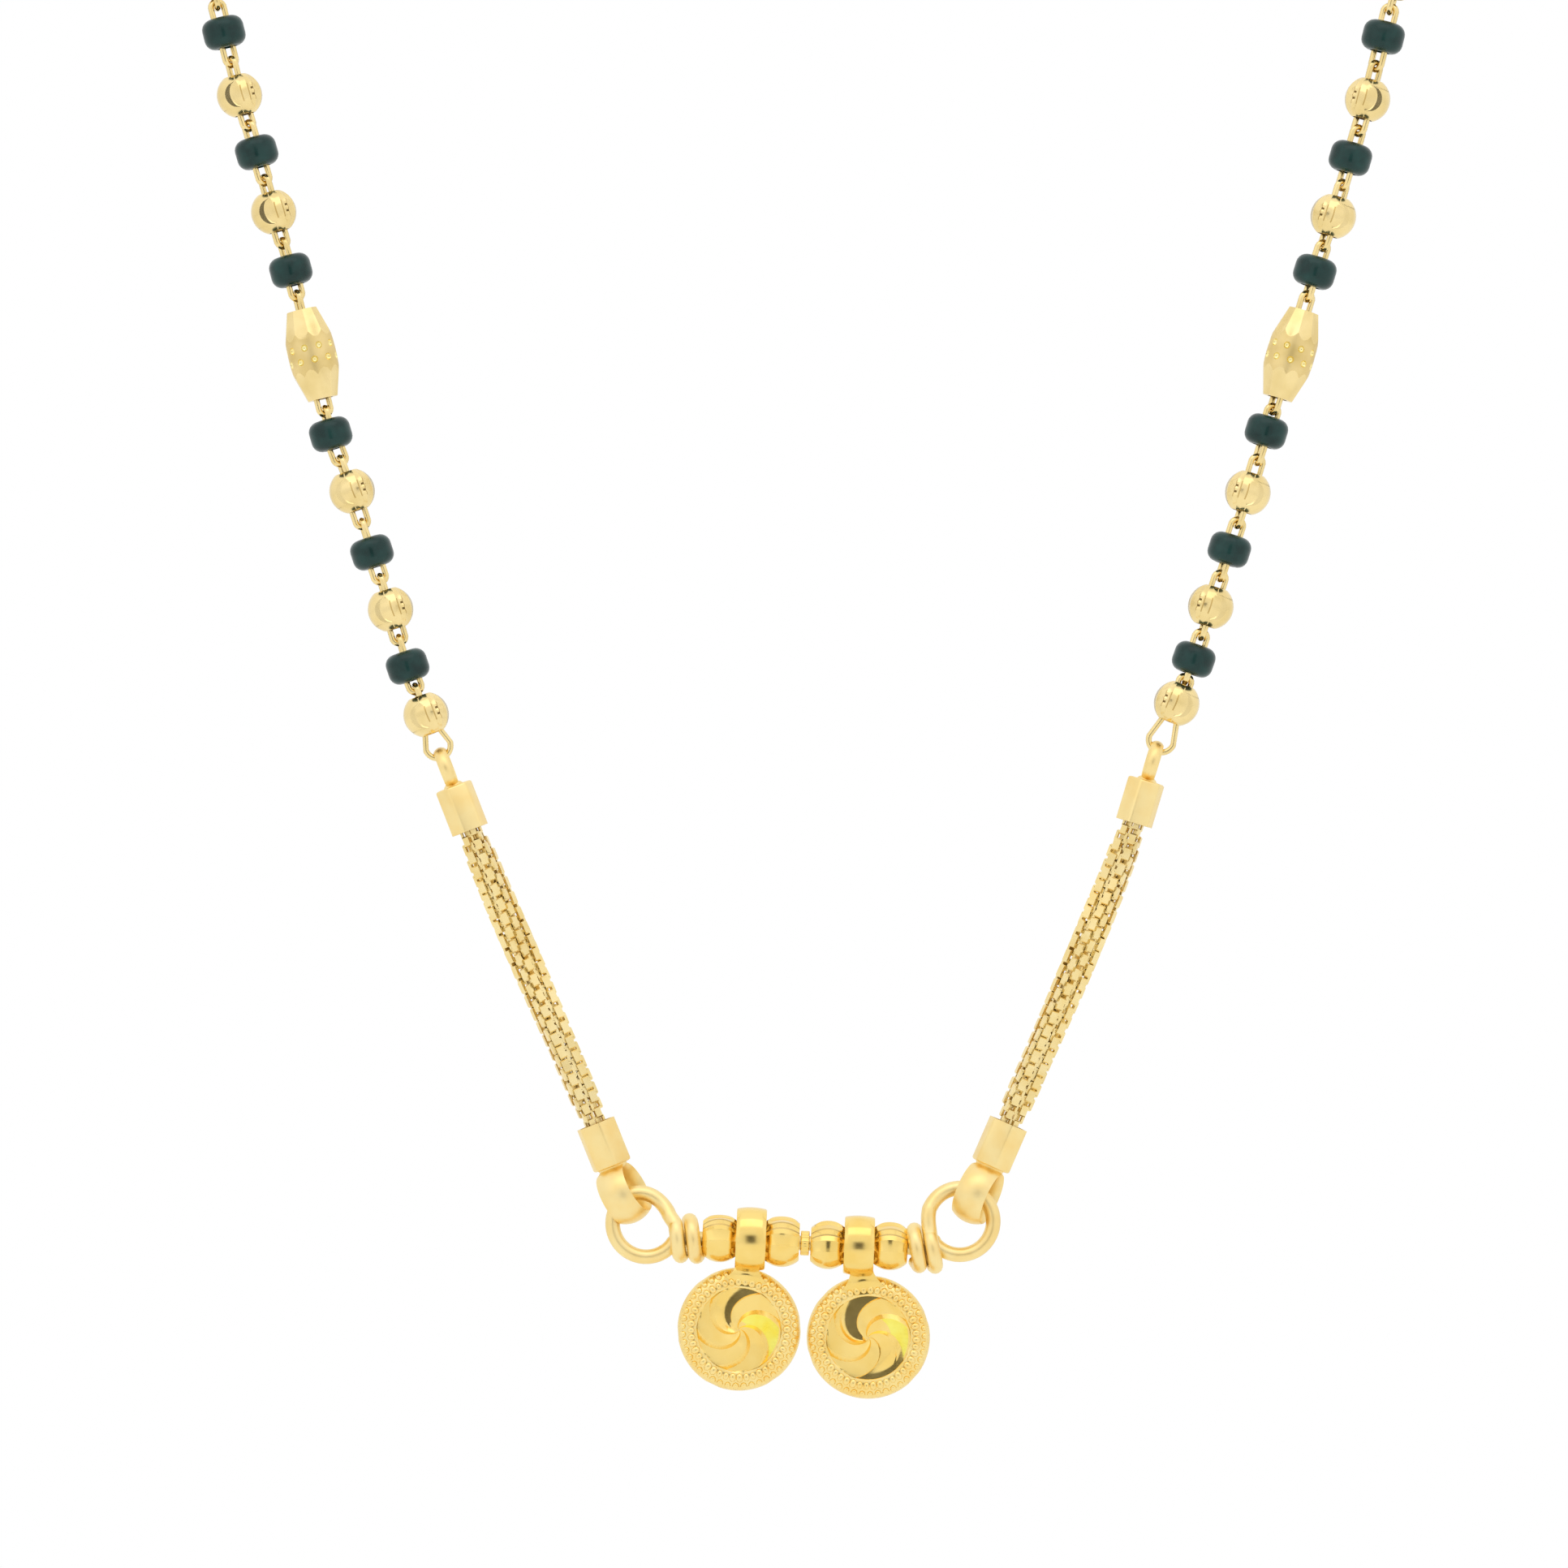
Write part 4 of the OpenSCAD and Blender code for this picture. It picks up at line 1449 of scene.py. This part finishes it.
def blade_height(part, column, slope, level, level_from):
    """Height of a blade's face over the edge of the field."""
    swell = FIELD_SWELL * (1 - part * part)
    share = (column - 1) / (BLADE_COLUMNS - 1) if column else 1
    depth = slope * BLADE_DEPTH * min(1.0, part / FULL_FROM) * (1 - part**RIM_POWER)
    if part < level_from:
        return swell + depth * (share - 0.5)
    if share <= level:
        return LEVEL_Z
    return LEVEL_Z + (swell + depth / 2 - LEVEL_Z) * (share - level) / (1 - level)


print("angles of a blade:", [round(blade_angle(0.5, k, SOFT_WALL)) for k in range(BLADE_COLUMNS)])


# %% Turn the field into blades and spread the golds
FIELD_TO = 0.999
BORDER_FROM = 1.02
# The blade with the painted lemon glint, and the share of the field's radius where the glint ends.
GLINT_BLADE = 4
GLINT_TO = 0.95
PENDANT_GOLDS = (pendant_gold, glint_painted_gold, border_gold)


def whirl(obj, shapes):
    columns = BLADES * BLADE_COLUMNS
    for vertex in obj.data.vertices:
        radius = vertex.co.xy.length / MM
        column = round(share_of_turn(vertex.co) * columns) % columns
        blade, step = divmod(column, BLADE_COLUMNS)
        part = radius / FIELD_R
        wall = STEEP_WALL if shapes[blade][1] else SOFT_WALL
        angle = math.radians(BLADE_PITCH * blade + blade_angle(part, step, wall))
        if vertex.co.z > 0 and part < FIELD_TO:
            shape = shapes[blade] if step else shapes[blade - 1]
            vertex.co.z += blade_height(part, step, *shape) * MM
        vertex.co.xy = polar(radius, angle).xy
    with editing(obj):
        pick_all()
        bpy.ops.mesh.normals_make_consistent(inside=False)


def spread_golds(obj, glint_from):
    """Gives the face of one blade a painted lemon glint, and the border the gold of its own."""
    for material in PENDANT_GOLDS:
        obj.data.materials.append(material)
    for face in obj.data.polygons:
        part = face.center.xy.length / MM / FIELD_R
        if part > BORDER_FROM:
            face.material_index = 2
        if face.center.z < 0 or not glint_from < part < GLINT_TO:
            continue
        start = blade_angle(part, 1, SOFT_WALL) + BLADE_PITCH * GLINT_BLADE
        if (share_of_turn(face.center) * 360 - start) % 360 < BLADE_PITCH - SOFT_WALL:
            face.material_index = 1


# %% Finish both discs
# How much each blade rises, what share of its face lies level, and from where outwards.
# A level face mirrors the viewer's side of the room and looks dark.
PLAIN = (1.1, 0, 2)
BLADES_OF = {
    "left": ((1.0, 0.5, 0.2), PLAIN, (1.15, 0, 2), PLAIN, PLAIN, (1.15, 0, 2)),
    "right": ((1.0, 0.8, 0.12), PLAIN, PLAIN, (1.0, 1, 0.72), PLAIN, (1.0, 0, 2)),
}
# Where the painted lemon glint starts on each disc, as a share of the field's radius.
GLINT_FROM = {"left": 0.2, "right": 0.58}
discs = {}
for side in SIDES:
    disc = copy_at(disc_model, f"disc_{side}", Matrix())
    whirl(disc, BLADES_OF[side])
    spread_golds(disc, GLINT_FROM[side])
    smooth(disc)
    discs[side] = disc
    print("glittering faces,", side, sum(f.material_index == 1 for f in disc.data.polygons))

# %% [markdown]
# The border carries two rows of grains. On the real cup they are raised by a punch, and
# they are longer along the radius than across it. One grain is a flattened ball with
# few faces, and it is copied round the border in two rows that stand between each other.

# %% Add the grains
GRAINS = 44
# Radius, height, offset and outward tip of each row.
GRAIN_ROWS = ((3.38, 0.39, 0.0, 4), (4.0, 0.19, 0.5, 42))
GRAIN_SIZE = (0.3, 0.24, 0.14)
GRAIN_STRAY = 0.12

grain_model = round_ball("grain_model", 1, 8, 6)
grain_model.data.transform(Matrix.Diagonal((*GRAIN_SIZE, 1)))
grains = []
for radius, height, offset, tip in GRAIN_ROWS:
    for k in range(GRAINS):
        matrix = (
            turned("Z", 360 * (k + offset) / GRAINS)
            @ Matrix.Translation(mm(radius, 0, height))
            @ turned("Y", tip)
            @ Matrix.Scale(1 + draw.uniform(-GRAIN_STRAY, GRAIN_STRAY), 4)
        )
        grains.append(copy_at(grain_model, f"grain_{k}", matrix))
grain_rows = join("grain_rows", grains)
smooth(grain_rows, 60)
print("faces of the grains:", len(grain_rows.data.polygons))

# %% [markdown]
# A strip bent round the bar, with its front pressed flat, is the bail, and its ends come
# together as the neck that is soldered over the cup's border. The strip is spun from a
# small rectangle. The neck starts as a block with many faces, whose points are moved so
# that it widens towards the cup and swells like solder.

# %% Model the bail
BAIL_D = 4.2
BAIL_W = 2.1
BAIL_WALL = 0.45
BAIL_SQUARE = 2.2
BAIL_DOME = 0.1
BAIL_SOFT = 0.07
BAIL_TALL = {"left": 4.47, "right": 4.2}


def bail(name, tall):
    """Band with a domed outside and soft edges, nearly round, pulled down to its height."""
    half, inner = BAIL_W / 2, BAIL_D / 2 - BAIL_WALL
    outer, flat = BAIL_D / 2 - BAIL_DOME, half - BAIL_SOFT
    outline = [(inner + BAIL_SOFT, -half), (outer - BAIL_SOFT, -half)]
    for x in (-1, -0.7, -0.35, 0, 0.35, 0.7, 1):
        outline.append((BAIL_D / 2 - BAIL_DOME * x * x, x * flat))
    outline += [(outer - BAIL_SOFT, half), (inner + BAIL_SOFT, half)]
    outline += [(inner, flat), (inner, -flat)]
    ring = revolve(name, outline, 64)
    for vertex in ring.data.vertices:
        angle = TURN * share_of_turn(vertex.co)
        corner = abs(math.cos(angle)) ** BAIL_SQUARE + abs(math.sin(angle)) ** BAIL_SQUARE
        vertex.co.xy *= corner ** (-1 / BAIL_SQUARE)
    top = Matrix.Translation(mm(0, 0, BAIL_D / 2))
    stretch = top.inverted() @ Matrix.Diagonal((1, 1, tall / BAIL_D, 1)) @ top
    ring.data.transform(stretch @ turned("Y", 90))
    return ring


# %% Model the neck
NECK_W = 1.6
NECK_FLARE = 4.0
NECK_THICK = 0.9
NECK_IN_BAIL = 0.2
NECK_OVER_FIELD = 0.12
NECK_CUTS = 9
# How late the neck widens, how much its sides fall off at the top and at the foot, how
# far it swells and how soon that is over, and how lumpy the solder is within its sides.
FLARE_POWER = 1.8
FALL_AT_TOP = 0.135
FALL_AT_FOOT = 0.45
NECK_SWELL = 0.17
SWELL_PACE = 1.15
NECK_LUMP = 0.02
LUMPY_WITHIN = 0.9


def neck(drop):
    """Mound that widens downwards, from the bail's foot to the cup's field."""
    top = -BAIL_D / 2 + BAIL_WALL * (1 - NECK_IN_BAIL)
    foot = -drop + FIELD_R + NECK_OVER_FIELD
    bpy.ops.mesh.primitive_cube_add(size=1)
    obj = named("neck")
    with editing(obj):
        pick_all()
        bpy.ops.mesh.subdivide(number_cuts=NECK_CUTS)
    lumps = random.Random("neck")
    for vertex in obj.data.vertices:
        across, deep, down = vertex.co.x * 2, vertex.co.y * 2, 0.5 - vertex.co.z
        half_width = NECK_W / 2 + (NECK_FLARE - NECK_W) / 2 * down**FLARE_POWER
        fall = FALL_AT_TOP + (FALL_AT_FOOT - FALL_AT_TOP) * down
        swell = NECK_SWELL * math.sin(math.pi * min(1, down * SWELL_PACE)) ** 2
        rough = abs(across) < LUMPY_WITHIN and 0 < down < 1
        lump = lumps.uniform(-NECK_LUMP, NECK_LUMP) if rough else 0
        half_thick = (NECK_THICK / 2 + swell) * (1 - fall * across * across) + lump
        vertex.co = mm(across * half_width, deep * half_thick, top + (foot - top) * down)
    return obj


# %% Assemble a pendant
PENDANT_LEAN = {"left": 5.2, "right": -8.2}
PENDANT_DROP = {"left": 6.27, "right": 6.5}


def pendant(side, place):
    lean = turned("Y", PENDANT_LEAN[side])
    drop = PENDANT_DROP[side]
    body = bail(f"cup_pendant_{side}", BAIL_TALL[side])
    for material in PENDANT_GOLDS:
        body.data.materials.append(material)
    hanger = neck(drop)
    hanger.data.transform(lean)
    combine(body, hanger)
    facing = lean @ Matrix.Translation(mm(0, 0, -drop)) @ turned("X", 90)
    combine(body, copy_at(discs[side], "cup", facing))
    smooth(body)
    pips = copy_at(grain_rows, "pips", facing)
    pips.data.materials.append(border_gold)
    piece = join(f"cup_pendant_{side}", [body, pips])
    piece.data.transform(Matrix.Translation(place) @ Matrix.Rotation(bar_tilt, 4, "Y"))
    dress(piece, pendant_gold, "gold", f"pendant_{side}", f"pendant_{side}_body")
    print("faces of the pendant", side, len(piece.data.polygons))


pendant("left", (bar_balls[0] + bar_balls[1]) / 2)
pendant("right", (bar_balls[2] + bar_balls[3]) / 2)

# %% [markdown]
# ## The closing at the nape
#
# The photo does not show it, so it is plain: two end rings and an S-shaped hook with a
# small ball on each tip. All of it is wire, made like the bar.

# %% Hook and end rings
HOOK_WIRE = 0.9
HOOK_EYE_R = 1.7
HOOK_SWEEP = 280
HOOK_TIP_D = 1.08
END_RING_R = 1.3
END_RING_WIRE = 0.55


def hook_half(m):
    """Points of one eye, from the middle of the S to its tip."""
    angles = [math.radians(180 + degrees) for degrees in range(0, HOOK_SWEEP + 1, 10)]
    r = m * HOOK_EYE_R
    return [mm(r * (1 + math.cos(angle)), 0, r * math.sin(angle)) for angle in angles]


hook_route = hook_half(1)[::-1] + hook_half(-1)[1:]
hook = wire_piece("s_hook", hook_route, HOOK_WIRE)
for place in (hook_route[0], hook_route[-1]):
    combine(hook, round_ball("tip", HOOK_TIP_D / 2, 24, 12, place))
smooth(hook)
dress(hook, satin_gold, "satin_gold", "clasp_hook")
print("faces of the hook:", len(hook.data.polygons))

for side in SIDES:
    place = Matrix.Translation(middle(f"end_ring_{side}"))
    ring = wire_ring(f"closing_ring_{side}", END_RING_R, END_RING_WIRE, 48, 12, place)
    dress(ring, string_gold, "gold", f"end_ring_{side}")

drop_model(ball_model, black_model, barrel_model, link_model, wide_link_model, link_box_model)
drop_model(disc_model, grain_model, grain_rows, *discs.values())

# %% [markdown]
# ## Camera, floor and light
#
# The photo looks straight at the hanging necklace, from level with it. A long lens at
# that place gives the same flat view. Light comes from wide soft panels and a pale room,
# because gold shows what surrounds it: the bright panels give the highlights, and the
# dimmer gaps between them draw the shapes.

# %% Camera
VIEW_WIDTH = 110.1
VIEW_MIDDLE = mm(-1.37, FRONT_Y, -110.06)
LENS = 200
SENSOR = 36

camera_data = bpy.data.cameras.new("photo_camera")
camera_data.lens = LENS
camera_data.sensor_width = SENSOR
camera_data.sensor_fit = "HORIZONTAL"
camera_data.clip_start = 0.01
camera_data.clip_end = 20
camera = put_in_scene("photo_camera", camera_data)
camera.location = VIEW_MIDDLE + Vector((0, -VIEW_WIDTH * MM * LENS / SENSOR, 0))
camera.rotation_euler = (math.radians(90), 0, 0)
bpy.context.scene.camera = camera
print("camera is", round(-camera.location.y, 3), "m in front of the nape")

# %% Floor
FLOOR_Z = -320
FLOOR_R = 1.2

bpy.ops.mesh.primitive_circle_add(
    vertices=96, radius=FLOOR_R, fill_type="NGON", location=mm(0, 0, FLOOR_Z)
)
floor = named("pale_floor")
floor_finish = Finish("pale_paper", Roughness=0.9)
clouds = floor_finish.noise(60)
floor_finish.feed(
    Base_Color=floor_finish.ramp(clouds, (0.3, (0.88, 0.88, 0.86)), (0.7, (0.93, 0.93, 0.91)))
)
floor.data.materials.append(floor_finish.material)
print("the floor lies", -FLOOR_Z, "mm below the nape")

# %% Pale room
# How bright the room looks when gold mirrors it, at its foot and overhead, and the
# opening behind the viewer, whose sizes are shares of the distance to it.
ROOM_LOW = 0.77
ROOM_HIGH = 1.01
OPENING = 0.03
OPENING_WIDE = 0.12
OPENING_TALL = 0.15
OPENING_EDGE = 0.05
# How bright it is as light on the floor, which is matt.
ROOM_ON_FLOOR = 1.0


class Room:
    """A world shader, which makes its nodes as a material does."""

    def __init__(self, name):
        self.world = bpy.data.worlds.new(name)
        self.world.use_nodes = True
        self.tree = self.world.node_tree
        self.tree.nodes.clear()

    node = Finish.node

    def light_path(self, kind):
        return self.node("ShaderNodeLightPath", output=kind)


def pale_room():
    room = Room("pale_room")
    direction = room.node("ShaderNodeTexCoord", output="Generated")
    x, y, z = (
        room.node("ShaderNodeSeparateXYZ", output=axis, Vector=direction) for axis in "XYZ"
    )
    walls = ROOM_LOW + (ROOM_HIGH - ROOM_LOW) * (0.5 + 0.5 * z)
    wide = x.math("ABSOLUTE", x, 0) - OPENING_WIDE
    tall = z.math("ABSOLUTE", z, 0) - OPENING_TALL
    towards_camera = y.math("LESS_THAN", y, 0)
    inside = room.node(
        "ShaderNodeMapRange",
        output="Result",
        settings={"interpolation_type": "SMOOTHSTEP"},
        Value=wide.math("MAXIMUM", wide, tall),
        From_Min=0,
        From_Max=OPENING_EDGE,
        To_Min=1,
        To_Max=0,
    )
    mirrored = walls - (walls - OPENING) * inside * towards_camera
    strength = mirrored + (ROOM_ON_FLOOR - mirrored) * room.light_path("Is Diffuse Ray")
    strength = strength + (1 - strength) * room.light_path("Is Camera Ray")
    glow = room.node("ShaderNodeBackground", Color=(1, 1, 1, 1), Strength=strength)
    out = room.tree.nodes.new("ShaderNodeOutputWorld")
    room.tree.links.new(glow.socket, out.inputs["Surface"])
    return room.world


bpy.context.scene.world = pale_room()
print("nodes of the room:", len(bpy.context.scene.world.node_tree.nodes))

# %% Soft panels
AIM = mm(0, -85, -100)


def panel(name, place, width, height, brightness):
    """Area light of a given brightness, which is what a mirror shows of it."""
    light = bpy.data.lights.new(name, "AREA")
    light.shape = "RECTANGLE"
    light.size = width
    light.size_y = height
    light.energy = brightness * width * height * math.pi
    obj = put_in_scene(name, light)
    obj.location = place
    obj.rotation_euler = (AIM - Vector(place)).to_track_quat("-Z", "Y").to_euler()
    print(name, round(light.energy, 3), "W")


panel("panel_left", (-0.8, -0.75, 0.3), 0.6, 0.7, 0.12)
panel("panel_right", (0.85, -0.7, 0.15), 0.5, 0.7, 0.08)
panel("panel_top", (0.0, -0.55, 0.55), 0.9, 0.5, 0.45)

bpy.context.scene.view_settings.view_transform = "Standard"
